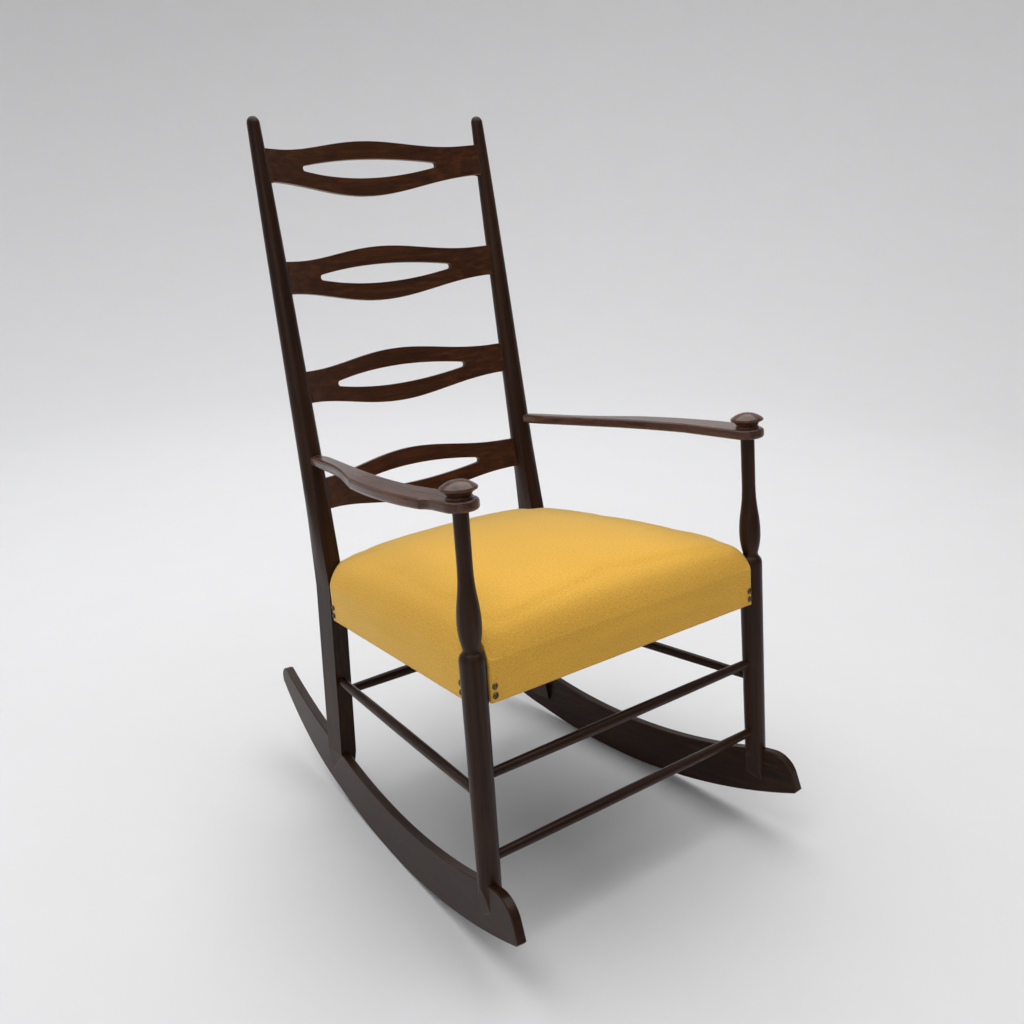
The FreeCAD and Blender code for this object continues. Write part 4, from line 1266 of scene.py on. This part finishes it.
@dataclass
class Studio:
    """Pale seamless floor that sweeps up all round, soft light and the camera."""

    paper: bpy.types.Material
    floor_reach: float = 2.9
    sweep: float = 2.9
    wall: float = 3.0
    azimuth: float = math.radians(-38.5007)
    elevation: float = math.radians(19.2224)
    lens: float = 39.57
    camera_at: tuple[float, float, float] = (-1.03077, -1.31395, 1.08658)
    sky_strength: float = 0.42
    lamps: tuple[Lamp, ...] = (
        Lamp("overhead_bank", 148, 4.8, (0.15, 0.65, 3.5), (0, 0.2, 0), "ffffff"),
        Lamp("front_window", 7, 1.5, (-2.2, -2.5, 2.2), (0, 0, 0.7), "f4f8ff"),
        Lamp("backdrop_bank", 15, 2.4, (1.6, 1.6, 3.3), (5.0, 3.9, 1.7), "ffffff"),
    )

    def backdrop(self) -> bpy.types.Object:
        """A round stage: flat floor, quarter-round sweep and wall.

        Returns:
            The stage, which is no part of the chair.
        """
        bm = bmesh.new()
        profile = [Vector((0.0, 0, 0)), Vector((self.floor_reach, 0, 0))]
        profile += [Vector((self.floor_reach + self.sweep * math.sin(a), 0,
                            self.sweep * (1 - math.cos(a))))
                    for a in (math.pi / 2 * i / 16 for i in range(1, 17))]
        profile.append(profile[-1] + Vector((0, 0, self.wall)))
        verts = [bmesh.ops.create_vert(bm, co=p)["vert"][0] for p in profile]
        edges = [bm.edges.new((a, b)) for a, b in zip(verts, verts[1:])]
        bmesh.ops.spin(bm, geom=verts + edges, cent=(0, 0, 0), axis=(0, 0, 1),
                       angle=2 * math.pi, steps=96, use_merge=True)
        bmesh.ops.remove_doubles(bm, verts=bm.verts, dist=0.1 * MM)
        bmesh.ops.recalc_face_normals(bm, faces=bm.faces)
        for face in bm.faces:
            face.smooth = True
        mesh = bpy.data.meshes.new("studio_floor")
        bm.to_mesh(mesh)
        bm.free()
        mesh.materials.append(self.paper)
        floor = bpy.data.objects.new("studio_floor", mesh)
        bpy.context.scene.collection.objects.link(floor)
        return floor

    def lights(self) -> None:
        """Hang every lamp, and leave a dim sky to fill the shadows."""
        for lamp in self.lamps:
            lamp.hang()
        world = bpy.data.worlds.new("studio_air")
        bpy.context.scene.world = world
        world.use_nodes = True
        tree = world.node_tree
        tree.nodes.clear()
        sky = add(tree, "ShaderNodeBackground", {
            "Color": linear("f7f8fa"), "Strength": self.sky_strength})
        add(tree, "ShaderNodeOutputWorld", {"Surface": sky.outputs["Background"]})

    def camera(self) -> None:
        """The camera, at a seated person's eye height, in front and to the left."""
        data = bpy.data.cameras.new("camera")
        data.lens = self.lens
        data.sensor_width = 36
        data.clip_end = 60
        camera = bpy.data.objects.new("camera", data)
        camera.location = self.camera_at
        camera.rotation_euler = (math.pi / 2 - self.elevation, 0, self.azimuth)
        bpy.context.scene.collection.objects.link(camera)
        bpy.context.scene.camera = camera

    def build(self) -> None:
        """Everything that isn't the chair."""
        self.camera()
        self.backdrop()
        self.lights()
        bpy.context.scene.view_settings.view_transform = "Standard"


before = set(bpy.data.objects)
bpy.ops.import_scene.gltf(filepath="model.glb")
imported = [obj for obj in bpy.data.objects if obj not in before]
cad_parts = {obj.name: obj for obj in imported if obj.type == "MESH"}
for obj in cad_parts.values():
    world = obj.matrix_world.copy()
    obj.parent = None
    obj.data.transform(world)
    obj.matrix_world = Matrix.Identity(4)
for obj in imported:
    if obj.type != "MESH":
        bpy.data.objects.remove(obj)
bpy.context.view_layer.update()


def main() -> None:
    """Build the studio, dress the wood and metal, and upholster the seat."""
    Studio(StudioPaper().build()).build()
    LOG.info("studio ready")
    across = StainedWood("stained_beech_across", Grain.ACROSS).build()
    Joinery(
        upright=StainedWood("stained_beech_upright", Grain.UP, arris_tan_strength=0.45).build(),
        front_upright=StainedWood("stained_beech_turned", Grain.UP_FRONT, arris_tan_strength=0.45).build(),
        across=across,
        fore_aft=StainedWood("stained_beech_fore_aft", Grain.FORE_AFT).build(),
        handled=StainedWood("stained_beech_handled", Grain.FORE_AFT, dark="3a2118",
                            middle="4c2e20", warm="63402c", rubbed="6b4634",
                            arris="9a6440", arris_tan_strength=0.9, gloss=0.35, shine=0.3,
                            roughness=(0.22, 0.36)).build(),
        plain=StainedWood("plain_beech", Grain.ACROSS, dark="8f6a45", middle="a9825a",
                          warm="bf9a6e", rubbed="b08f68", arris="c9a67c",
                          roughness=(0.6, 0.8)).build(),
    ).dress()
    slats = LadderSlats(StainedWood(
        "stained_beech_slats", Grain.ACROSS, dark="31190d", middle="402311",
        warm="55301a", shine=0.2).build())
    for step in range(len(slats.names)):
        LOG.info("built %s", slats.build(step).name)
    Fixings(
        bronze=AgedMetal("patinated_bronze", "9a8460", "4d443b").build(),
        blued=AgedMetal("blued_steel", "4c525c", "1d2026").build(),
        zinc=AgedMetal("zinc_plated_steel", "c9ccd0", "9ea2a6").build(),
    ).dress()
    seat = StuffedSeat(
        plan=SeatPlan(), wool=WoolCloth().build(), wadding=CottonWadding().build(),
        jute=PlainWeave("jute_webbing", "b3905e", "6b5232", 2.4 * MM).build(),
        sacking=PlainWeave("hessian_cloth", "a98655", "5e4629", 1.8 * MM).build(),
        cambric=PlainWeave("black_cambric", "26262a", "0e0e10", 1.2 * MM).build(),
    )
    for piece in seat.build():
        LOG.info("built %s", piece.name)


if __name__ == "__main__":
    logging.basicConfig(level=logging.INFO, format="%(message)s")
    main()
